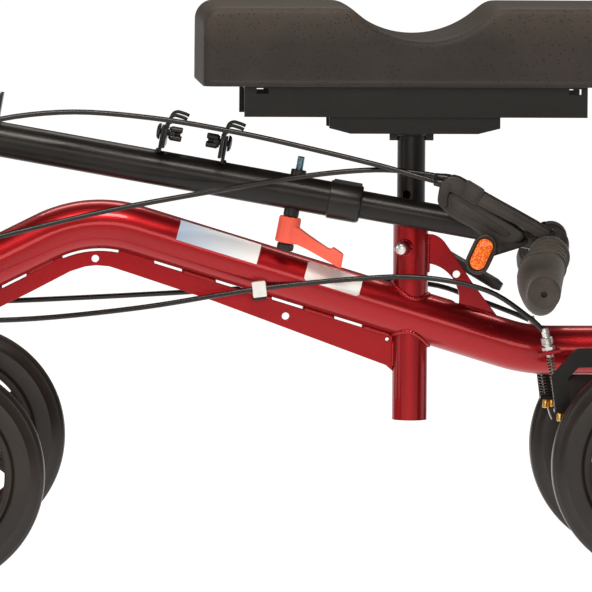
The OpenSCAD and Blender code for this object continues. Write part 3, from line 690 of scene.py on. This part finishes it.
def make_pad():
    """Moulded foam: cross sections with a rounded top edge, soft ends and a lip round the bottom."""
    half, edge, lip, corner, end_round = PAD_LEN / 2, 8, 2.2, 18, 9
    stations = [d - half for d in END_STEPS] + list(range(-154, 158, 6)) + [half - d for d in END_STEPS[::-1]]
    rings = []
    for u in stations:
        from_end = max(0.01, half - abs(u) - 1.0)
        drop = corner - math.sqrt(max(0, corner ** 2 - max(0, corner - from_end) ** 2))
        top = pad_top(u) - drop
        narrow = end_round - math.sqrt(max(0, end_round ** 2 - max(0, end_round - from_end) ** 2))
        side = PAD_W / 2 - narrow
        ring = []
        for s in (-1, 1):
            outline = [(side - 6, 0), (side - lip, 0), (side - 1, 0.5), (side - 0.4, 1.6), (side - 0.4, 4.4)]
            outline += [(side - 1.3, 5.4), (side - 1.5, 7), (side - 1.2, top * 0.45), (side - 2.2, top * 0.7)]
            for degrees, lift in EDGE_STEPS:
                a, r = radians(degrees), edge + lift
                outline.append((side - 2.6 - edge + r * cos(a), top - edge + r * sin(a)))
            outline += [(side * k, top + 1.1 * (1 - k * k)) for k in (0.6, 0.3)]
            ring += [(SEAT_X + 1 + u, s * y, PAD_Z + z) for y, z in (outline if s < 0 else outline[::-1])]
        rings.append(ring)
    pad = make("knee_pad", loft(rings), PAD, "seat", replaces=["seat_pad"], subdivide=1, sharp=70)
    board = []
    for t in range(48):
        a = 2 * pi * t / 48
        sx = math.copysign(min(1, abs(cos(a)) * 1.38), cos(a))
        sy = math.copysign(min(1, abs(sin(a)) * 1.38), sin(a))
        board.append((SEAT_X + 1 + sx * (half - 12), sy * (PAD_W / 2 - 12)))
    base = loft([[(x, y, PAD_Z - 0.2) for x, y in board], [(x, y, PAD_Z + 1.5) for x, y in board]])
    make("pad_base_board", base, SATIN, "seat", bevel=0.4)


def make_seat():
    make_pad()
    soften("seat_channel", BLACK, 0.9)
    soften("seat_plate", BLACK, 0.6)
    soften("seat_post", BLACK, 0.35)
    make("post_weld", weld_bead([(SEAT_X + 13.2 * cos(2 * pi * k / 32), 13.2 * sin(2 * pi * k / 32), 394.4)
                                 for k in range(33)], 2.3), BLACK, "seat", sharp=80)
    bolts = []
    for x in (-10, 232):
        for y in (-22, 22):
            hexagon = [(6.1 * cos(pi * k / 3), 6.1 * sin(pi * k / 3)) for k in range(6)]
            head = loft([[(x + px * k, y + py * k, z) for px, py in hexagon]
                         for k, z in ((0.9, 432.9), (1, 433.4), (1, 436.5), (0.96, 437))])
            bolts.append(head)
    make("pad_bolts", joined(*bolts), ZINC, "seat", replaces=["seat_bolts"], bevel=0.2)


# ---------- wheels ----------


def rounded(points, r, n=3):
    """An outline with each corner rounded by r."""
    out = []
    count = len(points)
    for i, p in enumerate(points):
        a, b = Vector(points[i - 1]), Vector(points[(i + 1) % count])
        p = Vector(p)
        cut_a = p + (a - p).normalized() * min(r, (a - p).length * 0.45)
        cut_b = p + (b - p).normalized() * min(r, (b - p).length * 0.45)
        for k in range(n + 1):
            t = k / n
            out.append(tuple((1 - t) ** 2 * cut_a + 2 * t * (1 - t) * p + t * t * cut_b))
    return out


def tyre_outline():
    w = 15
    half = [(75.2, w - 1.2), (76.4, w - 0.1), (88.6, w), (89.6, w - 0.3), (90.6, w - 1.3), (97.2, w - 4.6),
            (98.4, w - 4.9), (99.0, w - 5.6), (100.9, w - 7.4), (101.5, w - 9.2), (WHEEL_R, w - 12.4)]
    return half + [(r, -z) for r, z in half[::-1]]


def rim_outline():
    half = [(66.2, 9.6), (67.4, 11.6), (69.6, 12.9), (72.4, 13.1), (73.4, 12.5), (73.9, 11.7), (74.6, 11.4),
            (75.2, 12.2)]
    return half + [(r, -z) for r, z in half[::-1]]


def spoke_shape(angle):
    """A spoke that flares into the hub and the rim, with a raised rib on both faces."""
    rings = []
    for i in range(13):
        t = i / 12
        r = 17 + 51.5 * t
        flare = 3.8 * (abs(2 * t - 1) ** 3)
        w = 6.6 + flare + 0.8 * t
        thick = 8.4 - 1.6 * sin(pi * t)
        rib = 1.5
        section = [(-w, -thick * 0.62), (-w * 0.72, -thick), (-w * 0.34, -thick), (-w * 0.22, -thick - rib),
                   (w * 0.22, -thick - rib), (w * 0.34, -thick), (w * 0.72, -thick), (w, -thick * 0.62)]
        section += [(y, -z) for y, z in section[::-1]]
        rings.append([(r, y, z) for y, z in section])
    return moved(loft(rings), turn(angle, "Z"))


def make_wheel(corner, side):
    tyre, rim = f"{corner}_tyre_{side}", f"{corner}_rim_{side}"
    body = NODE_BODY[tyre]
    place = on_wheel(tyre, corner == "front")
    make(tyre + "_skin", revolve(tyre_outline(), 144), TYRE, body, place, replaces=[tyre], sharp=28)
    hub_half = [(14.1, 16.6), (19.2, 16.6), (20.6, 15.8), (21, 14.2), (21.6, 9), (22.6, 8)]
    hub = revolve(hub_half + [(r, -z) for r, z in hub_half[::-1]], 72)
    parts = [revolve(rim_outline(), 120), hub]
    parts += [spoke_shape(60 * k + 30) for k in range(6)]
    make(rim + "_skin", joined(*parts), RIM, body, place, replaces=[rim], sharp=35)


def make_wheels():
    for corner in ("front", "rear"):
        for side in ("right", "left"):
            make_wheel(corner, side)
    for node in ("wheel_bearings_rr", "wheel_bearings_rl", "wheel_bearings_fr", "wheel_bearings_fl",
                 "rear_axle", "front_axle"):
        paint(STEEL, node)
    for node in ("rear_axle_nuts", "front_axle_nuts"):
        soften(node, ZINC, 0.7)


# ---------- column ----------


def rounded_disc(r, low, high, edge=0.8, sides=40):
    return lathe([(r - edge, low), (r, low + edge), (r, high - edge), (r - edge, high)], sides)


def wing_knob():
    """A round-headed bolt with a four-lobed knob, along Z."""
    head = lathe([(3, -0.2), (7.3, -0.4), (7.5, -1.4), (6.6, -2.8), (4.4, -3.7), (0.01, -4)], 32)
    bolt = rounded_disc(3, -0.3, 18, 0.5, 20)
    collar = rounded_disc(5.6, 7.3, 13.5, 0.7, 28)
    wings = []
    for k in range(4):
        wings.append(moved(rounded_disc(2.6, 8.6, 19.4, 0.7, 14), turn(45 + 90 * k, "Z") @ shift(5.4, 0, 0)))
    return joined(head, bolt, collar, *wings)


def hook_strip(a, y):
    """One flat prong: up from the cross plate and curled over to the rear."""
    path = [(a, 39), (a, 44.5)] + [(a + 6 + 6 * cos(radians(v)), 45.5 + 6 * sin(radians(v)))
                                   for v in range(180, 60, -15)] + [(a + 12.5, 50.6), (a + 16, 49.6)]
    return strip([(x, y, h) for x, h in path], slab(6.4, 2.8), up=(0, 1, 0))


CLAMP_A = 322            # the height clamp's place along the column
PLATE_A = (197.6, 249.4)
TAB_A = (194.6, 252.4)


def make_hooks():
    parts = []
    for a in PLATE_A:
        plate = rounded([(-33, 20), (33, 20), (33, 42), (-33, 42)], 4)
        parts.append(loft([[(a - 1.5, y, h) for y, h in plate], [(a + 1.5, y, h) for y, h in plate]]))
        parts += [hook_strip(a + 1.6, y) for y in (-30, 30)]
    for a in TAB_A:
        tab = rounded([(-11, 14), (11, 14), (11, 39), (-11, 39)], 2)
        parts.append(loft([[(a - 1.5, y, h) for y, h in tab], [(a + 1.5, y, h) for y, h in tab]]))
    guide = rounded([(-13, 14), (13, 14), (13, 42), (-13, 42)], 2)
    parts.append(loft([[(a, y, h) for y, h in guide] for a in (44, 47)]))
    beads = [weld_bead([(a + s * 2.2, -9 + 18 * k / 6, math.sqrt(16.3 ** 2 - (-9 + 3 * k) ** 2))
                        for k in range(7)], 1.6)
             for a, s in ((TAB_A[0], -1), (TAB_A[1], 1), (45.5, 1), (45.5, -1))]
    make("hook_plates", joined(*parts), BLACK, "column", COLUMN, replaces=["basket_hooks"], bevel=0.5,
         sharp=40)
    make("hook_welds", joined(*beads), BLACK, "column", COLUMN, sharp=80)
    knobs = [moved(wing_knob(), shift(192.9, 0, 33) @ turn(90, "Y")),
             moved(wing_knob(), shift(254.1, 0, 33) @ turn(-90, "Y"))]
    boss = joined(lathe([(7, 12), (7, 20.4), (6.4, 21), (5, 21.1)], 40),
                  lathe([(7, -14), (7, -21.2), (6.5, -21.7)], 40),
                  rounded_disc(4, -52.6, -21, 0.4, 24), rounded_disc(7.6, -53, -46.4, 1.2, 6))
    make("column_knobs", joined(*knobs, moved(boss, shift(CLAMP_A, 0, 0))), SATIN, "column", COLUMN,
         replaces=["column_fasteners"], sharp=35)
    ridges = []
    for k in range(25):
        z = 20.8 + 0.5 * k
        ridges.append((3.45 if k % 2 else 3.05, z))
    stud = lathe([(3.0, 20.5)] + ridges + [(2.6, 33.2), (0.01, 33.2)], 24)
    make("clamp_stud", moved(stud, shift(CLAMP_A, 0, 0)), BLUE_ZINC, "column", COLUMN, sharp=25)


def make_clamp_lever():
    """Hub with a handle that leaves it low, tapers, and ends in a raised tip."""
    hub = lathe([(8.6, -22.3), (9.6, -22.8), (10, -24), (10.2, -38), (10.4, -44.6), (9.6, -45.9),
                 (8.4, -46.2)], 48)
    # along the column, height, tall, half width
    line = [(2, -37, 15.5, 9.4), (10, -38.4, 14.6, 8.8), (20, -42.2, 12.4, 7.6), (30, -46.2, 11.4, 7.0),
            (38, -49.4, 10.8, 6.9), (41, -50.2, 11.4, 7.0), (43, -49.6, 14, 7.2), (47, -51.2, 14.2, 7.3),
            (52, -53.2, 13.4, 7.3), (53.2, -53.8, 11.6, 6.6)]
    rings = []
    for a, h, tall, half in line:
        section = rounded([(-half, -tall / 2), (half, -tall / 2), (half, tall / 2), (-half, tall / 2)], 1.6)
        rings.append([(a, y, h + z) for y, z in section])
    handle = moved(joined(hub, loft(rings)), shift(CLAMP_A, 0, 0))
    make("clamp_handle", handle, ORANGE, "column_lever", COLUMN, replaces=["column_clamp_lever"], sharp=30)


def make_column():
    paint(BLACK, "outer_column", "inner_column")
    soften("column_foot", BLACK, 0.6)
    collar = revolve([(12.9, 353), (16.6, 353), (17.4, 353.8), (17.5, 355), (17.5, 378.4), (16.9, 381.4),
                      (15.4, 382.8), (12.9, 383)], 72)
    clip = prism(rounded([(355, 15.5), (381, 15.5), (381, 18.6), (355, 18.6)], 1), -6, 6)
    make("collar_sleeve", joined(moved(collar, turn(90, "Y")), clip), SATIN, "column", COLUMN,
         replaces=["column_collar"], sharp=30)
    make_hooks()
    make_clamp_lever()


# ---------- handlebar ----------


def bar_path():
    """The bar's middle line along Y, in the column's coordinates."""
    drop = tan(radians(BAR_SWEEP))
    ys = [-176, -150, -120, -90, -62, -56, -51, -47, -44, -40, -34, -20, 0]
    right = []
    for y in ys:
        out = max(0, abs(y) - 45)
        soft = 11
        h = -drop * (math.sqrt(out ** 2 + soft ** 2) - soft if out else 0)
        right.append((BAR_A, y, h))
    return right + [(a, -y, h) for a, y, h in right[-2::-1]]


def make_bar():
    make("handlebar_tube", tube(bar_path(), BAR_R, sides=32, up=(1, 0, 0)), BLACK, "handlebar", COLUMN,
         replaces=["handlebar_tee"], sharp=50)
    sleeve = lathe([(14.2, -22), (15, -21.2), (15, 21.2), (14.2, 22)], 48)
    make("handlebar_tee_sleeve", moved(sleeve, shift(BAR_A, 0, 0) @ turn(90, "X")), SATIN, "handlebar",
         COLUMN)
    seam, sleeve_r = 13, 15.2
    ring = [(BAR_A - math.sqrt(sleeve_r ** 2 - (seam * sin(a)) ** 2), seam * cos(a), seam * sin(a))
            for a in [2 * pi * k / 32 for k in range(33)]]
    make("handlebar_tee_weld", weld_bead(ring, 1.8), BLACK, "handlebar", COLUMN, sharp=80)


def make_grip(side):
    """Soft base ring, three ridges, a barrel and a palm wing that swells towards the end."""
    node = "grip_right" if side < 0 else "grip_left"
    rings = []
    # along the grip, radius, how much of the palm wing
    stations = [
        (34, 17.4, 0), (34.8, 18.4, 0), (38.6, 18.8, 0), (42.6, 18.6, 0), (43.8, 17.6, 0), (44.4, 15.8, 0),
        (48, 15.6, 0), (49, 17.4, 0.02), (51.6, 17.6, 0.02), (52.6, 15.6, 0.03), (55.4, 15.6, 0.05),
        (56.4, 17.3, 0.06), (59, 17.4, 0.08), (60, 15.6, 0.1), (62.8, 15.6, 0.13), (63.8, 17.1, 0.15),
        (66.4, 17.2, 0.18), (67.4, 15.6, 0.2), (72, 15.6, 0.32), (78, 15.8, 0.52), (84, 16, 0.72),
        (91, 16, 0.88), (98, 16, 0.98), (105, 16, 1), (112, 16, 0.98), (118, 16, 0.9), (123, 15.9, 0.76),
        (126.5, 15.8, 0.58), (129, 15.8, 0.36), (130.6, 15.8, 0.16), (131.4, 15.8, 0), (134.6, 15.8, 0),
        (135, 15.1, 0), (135.6, 15.1, 0), (136, 15.8, 0), (138, 15.6, 0), (138.6, 14.8, 0), (138.8, 12, 0),
        (138.8, 4.4, 0), (138.4, 3.4, 0), (134, 2.9, 0), (133.8, 1, 0)]
    for z, r, wing in stations:
        ring = []
        left = 10.5 * max(0, sin(pi * min(1, max(0, (z - 46) / 72)))) ** 0.8
        for k in range(48):
            a = 2 * pi * k / 48
            swell = wing * 14.5 * max(0, -sin(a + 0.1)) ** 2.6 + left * max(0, -cos(a - 0.25)) ** 2.8
            body = r * (1 - 0.06 * min(1, max(0, (z - 70) / 40)))
            ring.append(((body + swell) * cos(a), (body + swell) * sin(a), z))
        rings.append(ring)
    make(node + "_sculpted", loft(rings), RUBBER, "handlebar", bar_end(side), replaces=[node], sharp=60)


def make_brake_housing():
    """Upper shell like an upturned trough with a square pad, a clamp round the bar, and cable boots."""
    top = ([(450.2, 33), (450.4, 36.5), (452.4, 40.4), (455.8, 43.6), (461, 45), (466, 44.4), (472, 42.4)]
           + [(480, 39.2), (488, 35.8), (504, 30.2), (523, 23.8), (541, 17.6), (552, 13), (557, 8), (559, 3)])
    roof = [(555, 0), (545, 7.5), (529, 14.4), (511, 20.6), (492, 27), (478, 31.8), (466, 34.6), (455, 35)]
    shell = prism(top + roof, LEVER_Y - 12.4, LEVER_Y + 12.4)
    make("brake_housing_top", shell, PLASTIC, "handlebar", COLUMN, replaces=["brake_housing"], bevel=2.6,
         segments=4, sharp=50)
    skirt = [(452.5, 40), (470, 40), (488, 33), (523, 21), (552, 10), (556, 0), (549, 2.6), (530, 9.6),
             (511, 15), (492, 20.8), (478, 25.4), (466, 28.8), (458, 30.6), (453, 34)]
    skirts = [prism(skirt, LEVER_Y + s * 11.6 - 1.1, LEVER_Y + s * 11.6 + 1.1) for s in (-1, 1)]
    make("brake_housing_skirts", joined(*skirts), PLASTIC, "handlebar", COLUMN, bevel=0.7, segments=2)
    frame_line = rounded([(-9.4, -8.4), (9.4, -8.4), (9.4, 8.4), (-9.4, 8.4)], 2.6)
    inner_line = rounded([(-7.0, -6.2), (7.0, -6.2), (7.0, 6.2), (-7.0, 6.2)], 1.8)
    pad = joined(loft([[(x, z, h) for x, z in frame_line] for h in (-1, 1.0)]),
                 loft([[(x, z, h) for x, z in inner_line] for h in (-1, 1.8)]))
    near = shift(478.6, LEVER_Y - 12.5, 33.2) @ turn(21, "Y") @ turn(90, "X")
    make("housing_square_pad", moved(pad, near), PLASTIC, "handlebar", COLUMN, bevel=0.5)
    cheeks = []
    for s in (-1, 1):
        outline = rounded([(449.4, 19), (449.4, 38), (457, 40), (461, 36), (458, 26), (460, 17), (456, 13)],
                          4, 4)
        y = LEVER_Y + s * 11.2
        cheeks.append(prism(outline, y - 1.6, y + 1.6))
    make("brake_housing_cheeks", joined(*cheeks), PLASTIC, "handlebar", COLUMN, bevel=1.1, segments=3)
    collar = lathe([(12.4, 2), (15.4, 2.6), (16.6, 4.6), (16.9, 10), (16.9, 26), (16.4, 30.5), (15.2, 32.6),
                    (12, 33)], 56)
    make("brake_bar_clamp", collar, PLASTIC, "handlebar", bar_end(-1), sharp=40)
    nub = rounded_disc(2.4, 0, 4.4, 0.8, 16)
    make("brake_clamp_screw", moved(nub, shift(0, 15.6, 18) @ turn(-90, "X")), PLASTIC, "handlebar",
         bar_end(-1))
    boots = []
    for s in (-1, 1):
        boot = lathe([(2.55, -9), (3.3, -8.4), (3.7, -4), (4.3, 0), (4.6, 5)], 24)
        boots.append(moved(boot, shift(452.5, LEVER_Y + s * 5, 38.2 + s * 2.2) @ turn(90, "Y")))
    make("cable_boots", joined(*boots), SATIN, "handlebar", COLUMN, sharp=50)


def make_brake_lever():
    """The blade under the shell, its arm down to the reflector, and the reflector's oval bezel."""
    blade = [(455.5, 27), (458, 31), (464, 32), (474, 29.6), (488, 24.6), (504, 18.2), (520, 12), (531, 6.6),
             (533, 0.5), (528, -4), (521, -9.8), (512, -12), (503, -9), (492, -2.6), (484, 1.6), (471, 5.2),
             (462, 9), (456.4, 13), (453.2, 18)]
    make("brake_blade", prism(blade, LEVER_Y - 9.6, LEVER_Y + 8.6), PLASTIC, "lever", COLUMN,
         replaces=["brake_lever"], bevel=3.2, segments=4, sharp=50)
    rib = [(460, 26.4), (472, 22.6), (488, 16.6), (506, 9.2), (520, 3), (516, -1.4), (504, 2), (488, 8),
           (474, 12), (463, 16)]
    make("brake_blade_rib", prism(rib, LEVER_Y - 10.3, LEVER_Y - 9), PLASTIC, "lever", COLUMN, bevel=0.7,
         segments=2)
    rings = []
    for i in range(9):
        t = i / 8
        a, h = 524 - 22 * t, -4 - 12 * t
        y = LEVER_Y - 2 - 17.5 * t
        rings.append([(a + (15 - 5 * t) * cos(v), y + (7 - 2 * t) * sin(v) * 0.9,
                       h + (7.5 - 1 * t) * sin(v + 0.5))
                      for v in [2 * pi * k / 20 for k in range(20)]])
    make("reflector_arm", loft(rings), PLASTIC, "lever", COLUMN, subdivide=1, sharp=60)
    tilt = shift(497, LEVER_Y - 20, -19) @ turn(90, "X") @ turn(75, "Z")

    def oval(r, stretch, z):
        ring = []
        for k in range(48):
            a = 2 * pi * k / 48
            ring.append((r * cos(a) + math.copysign(stretch, cos(a)) * min(1, abs(cos(a)) * 6), r * sin(a),
                         z))
        return ring

    bezel = loft([oval(7, 6, -1), oval(10.2, 8, -0.4), oval(11, 8, 2), oval(11, 8, 6.4), oval(10.3, 8, 7.7),
                  oval(9.2, 8, 8.0), oval(8.2, 8, 7.6), oval(7.7, 7.6, 6.2), oval(7.5, 7.5, 5.4),
                  oval(3, 6, 5.4)])
    make("reflector_bezel", bezel, PLASTIC, "lever", COLUMN @ tilt, sharp=50)
    lens = loft([oval(7.3, 7.4, 5.5), oval(7.3, 7.4, 7.0), oval(6.9, 7.4, 7.9), oval(5.2, 7.2, 8.4),
                 oval(2.6, 6.8, 8.7), oval(0.6, 6.2, 8.8)])
    make("reflector_lens", lens, AMBER, "lever", COLUMN @ tilt, replaces=["reflector"], sharp=50)


# ---------- cables ----------

CABLE_R = 2.4
# the same points as the design's cable routes, in millimetres
CABLE_RIGHT = [
    (133.5, -104.5, 354.8), (112, -101.5, 360.5), (75, -93, 370.5), (21, -81, 383), (-50, -66, 398),
    (-131, -57, 411), (-212, -55, 415.5), (-290, -60, 403), (-350, -68, 370), (-384, -75, 318),
    (-374, -78, 262), (-326, -74, 233), (-250, -63, 229), (-138, -38, 238), (-29, -22, 254.4),
    (65, -37, 265), (121, -51, 266.5), (175, -64.5, 256), (212, -70.5, 232.5), (227, -71, 218.5)]
CABLE_LEFT = [
    (135, -94.5, 359.3), (113, -92.5, 363.5), (71, -88, 366.5), (9, -76, 360), (-85, -55, 342.6),
    (-161, -50, 328), (-231, -54, 312), (-300, -62, 294), (-352, -52, 272), (-375, -20, 253),
    (-371, 22, 241), (-334, 50, 236), (-261, 52, 237), (-152, 41, 243), (-50, 42, 249),
    (50, 48, 255.5), (130, 54, 253.5), (175, 64, 239), (207, 69.5, 227), (227, 71, 218.5)]


def make_cable(node, route, splits):
    """One cable as three lengths of tube, split at the given route points and fixed in world space."""
    path = smooth_path(route, 6)
    first, second = splits[0] * 6, splits[1] * 6
    spans = [("upper", path[:first + 1], "handlebar", "column"),
             ("middle", path[first:second + 1], "column", "fork"),
             ("lower", path[second:], "fork", "frame")]
    for part, points, a, b in spans:
        obj = make(f"{node}_{part}", tube(points, CABLE_R, sides=14), CABLE, None, sharp=60)
        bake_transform(obj)
        if part == "upper":
            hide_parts(node)


def make_cables():
    make_cable("brake_cable_right", CABLE_RIGHT, (6, 9))
    make_cable("brake_cable_left", CABLE_LEFT, (5, 8))
    clip = (-29, -22, 254.4)
    band = prism(rounded([(-6.2, -7.6), (6.2, -7.6), (6.2, 6.6), (-6.2, 6.6)], 1.2), -4.2, 4.6)
    make("cable_clip_band", moved(band, shift(*clip) @ turn(-7, "Y")), WHITE, "frame",
         replaces=["cable_clip"], bevel=0.7, segments=3)
    foot = prism(rounded([(-6.6, -10.4), (5.4, -10.4), (5.4, -7), (-6.6, -7)], 1), -3.4, 7)
    make("cable_clip_foot", moved(foot, shift(*clip) @ turn(-7, "Y")), SATIN, "frame", bevel=0.5)


# ---------- rear brakes ----------

STOP = (230.5, 71, 202.5)
STOP_LEAN = 12
SPRING_R = 3.4


def at_stop(side):
    return shift(STOP[0], side * STOP[1], STOP[2]) @ turn(-STOP_LEAN, "Y")


def make_adjusters():
    shapes = []
    for side in (-1, 1):
        hexa = lathe([(5.6, 0.1), (6.0, 0.6), (6.0, 3.2), (5.5, 3.8)], 6)
        barrel = [(3.3, 3.6), (3.3, 5.2), (5.2, 5.6)]
        barrel += [(5.6 if k % 2 else 5.2, 6 + 0.5 * k) for k in range(12)]
        barrel += [(5.0, 12.2), (4.0, 12.6), (3.5, 12.8), (3.5, 16), (3.75, 16.4)]
        barrel += [(3.75, 18), (3.5, 18.4), (3.45, 20.4), (2.6, 20.6)]
        thread = lathe([(3.0 if k % 2 else 3.3, -6 + 0.5 * k) for k in range(13)], 24)
        shapes.append(moved(joined(hexa, lathe(barrel, 12), thread), at_stop(side)))
    make("cable_barrels", joined(*shapes), ZINC, "frame", replaces=["cable_adjusters"], sharp=25)


def make_springs_and_wires():
    for side, word in ((-1, "right"), (1, "left")):
        start = Vector((231.6, side * 71, 196.4))
        end = Vector((240.4, side * 71, 150.6))
        axis = (end - start).normalized()
        across = axis.cross(Vector((0, 1, 0))).normalized()
        turns, steps = 17, 16
        coil = []
        for i in range(turns * steps + 1):
            t = i / (turns * steps)
            tight = 0.04 * sin(2 * pi * t)
            a = 2 * pi * turns * t
            middle_line = start.lerp(end, min(1, max(0, t - tight * 0.4)))
            coil.append(middle_line + SPRING_R * (cos(a) * across + sin(a) * Vector((0, 1, 0))))
        obj = make(f"spring_{word}", tube(coil, 0.62, sides=7), SPRING, None,
                   replaces=[f"brake_spring_{word}"], sharp=60)
        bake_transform(obj)
        wire = [start.lerp(end, t) for t in (-0.05, 0.3, 0.6, 0.9)]
        for x, y, z in ((241.2, 71, 146), (244.5, 71.4, 134), (247, 72, 128)):
            wire.append(Vector((x, side * y, z)))
        obj = make(f"inner_wire_{word}", tube(smooth_path(wire, 4), 0.8, sides=8), STEEL, None, sharp=60)
        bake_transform(obj)
        nuts = []
        # offset along the frame, radius, underside
        for dx, r, low in ((0, 3.1, 138.6), (5.4, 2.4, 139.6)):
            nuts.append(moved(lathe([(r - 0.5, low), (r, low + 0.6), (r, 145.2), (r - 0.5, 146.6)], 20),
                              shift(241 + dx, side * 71, 0)))
        make(f"wire_nut_{word}", joined(*nuts), BRASS, f"brake_{word}", replaces=[f"cable_nut_{word}"],
             sharp=30)


def make_brakes():
    for word in ("right", "left"):
        soften(f"brake_arm_{word}", BLACK, 0.7)
    soften("brake_pivot_bolts", ZINC, 0.5)
    make_adjusters()
    make_springs_and_wires()


# ---------- labels ----------


def make_label(name, x0, x1, low, high, start, end, corner=0.0):
    """A thin film on the tube's right side from x0 to x1, and from low to high degrees round the tube."""
    slope = radians(BACK_SLOPE)
    along = Vector((cos(slope), 0, -sin(slope)))
    up = Vector((sin(slope), 0, cos(slope)))
    points, faces = [], []
    nx, na = 24, 10      # squares along and round the tube
    for layer in (0.12, 0.3):
        for i in range(nx + 1):
            for k in range(na + 1):
                s, t = i / nx, k / na
                length = (x1 - x0) / cos(slope)
                pull = corner * max(0, 1 - min(s, 1 - s) * length / corner) ** 2 if corner else 0
                arc = radians(high - low) * TUBE_R
                a = radians(low) + (pull + (arc - 2 * pull) * t) / TUBE_R
                r = TUBE_R + layer
                p = Vector((x0, 0, back_run_z(x0))) + along * length * s + up * (r * sin(a))
                p += Vector((0, -r * cos(a), 0))
                points.append(tuple(p))
    row = na + 1
    layer_size = (nx + 1) * row
    for base, flip in ((0, True), (layer_size, False)):
        for i in range(nx):
            for k in range(na):
                f = (base + i * row + k, base + (i + 1) * row + k, base + (i + 1) * row + k + 1,
                     base + i * row + k + 1)
                faces.append(f[::-1] if flip else f)
    border = ([i * row for i in range(nx)] + [nx * row + k for k in range(na)]
              + [i * row + na for i in range(nx, 0, -1)] + [k for k in range(na, 0, -1)])
    for a, b in zip(border, border[1:] + border[:1]):
        faces.append((a, b, b + layer_size, a + layer_size))
    film = label_film(name + "_film", start, end, x0 * MM, x1 * MM)
    make(name, (points, faces), film, "frame", sharp=50)


def make_labels():
    make_label("label_front", -105.5, -32.5, 8, 67, (0.42, 0.55, 0.74), (0.95, 0.95, 0.94))
    make_label("label_rear", 10.5, 60.5, 6, 58, (0.95, 0.945, 0.93), (0.92, 0.91, 0.89), corner=1.6)


# ---------- front fork ----------


def make_fork():
    soften("front_axle_beam", RED, 0.8)
    soften("fold_yoke", BLACK, 0.9)
    soften("fold_pin", ZINC, 0.6)
    soften("fold_plunger", ZINC, 0.7)
    soften("steering_stem", BLACK, 0.5)
    soften("headset_cups", SATIN, 0.8)


# ---------- studio ----------


def make_studio():
    scene = bpy.context.scene
    scene.view_settings.view_transform = "Standard"
    floor = mesh_object("floor", [(-7000, -4000, 0), (7000, -4000, 0), (7000, 18000, 0), (-7000, 18000, 0)],
                        [(0, 1, 2, 3)], WORLD)
    n = Nodes("floor_paper")
    split = n.add("ShaderNodeSeparateXYZ")
    n.link(n.coords, split.inputs[0])
    back = n.add("ShaderNodeMapRange")
    back.inputs["From Min"].default_value = -1.6
    back.inputs["From Max"].default_value = -0.2
    back.inputs["To Min"].default_value = 0.3
    back.inputs["To Max"].default_value = 1.0
    n.link(split.outputs["Y"], back.inputs["Value"])
    n.set(Base_Color=n.ramp(n.noise(3, 2), [(0.3, (0.36, 0.35, 0.34)), (0.7, (0.39, 0.38, 0.37))]),
          Roughness=0.9, Emission_Color=(1, 0.99, 0.98, 1), Emission_Strength=back.outputs["Result"],
          Specular_IOR_Level=0.0)
    floor.data.materials.append(n.material)
    world = bpy.data.worlds.new("studio")
    world.use_nodes = True
    scene.world = world
    background = world.node_tree.nodes["Background"]
    background.inputs["Color"].default_value = (0.11, 0.104, 0.098, 1)
    background.inputs["Strength"].default_value = 1.0

    def softbox(name, at, aim, width, height, power):
        data = bpy.data.lights.new(name, "AREA")
        data.shape = "RECTANGLE"
        data.size, data.size_y = width, height
        data.energy = power
        data.color = (1, 0.94, 0.87)
        lamp = bpy.data.objects.new(name, data)
        lamp.location = at
        lamp.rotation_euler = (Vector(aim) - Vector(at)).to_track_quat("-Z", "Y").to_euler()
        scene.collection.objects.link(lamp)

    softbox("overhead", (-0.25, -1.3, 1.9), (-0.1, 0, 0.3), 1.1, 0.45, 30)
    softbox("front", (-0.3, -3.4, 0.8), (0, 0, 0.25), 3.0, 0.8, 24)
    softbox("left_side", (-2.8, -1.0, 1.0), (0, 0, 0.25), 0.6, 1.4, 12)
    softbox("top_back", (0.3, 1.4, 2.4), (0, 0, 0.3), 3.0, 0.5, 26)


make_studio()
make_cables()
make_frame()
make_seat_clamp()
make_seat()
make_wheels()
make_column()
make_bar()
make_grip(-1)
make_grip(1)
make_brake_housing()
make_brake_lever()
make_brakes()
make_labels()
make_fork()
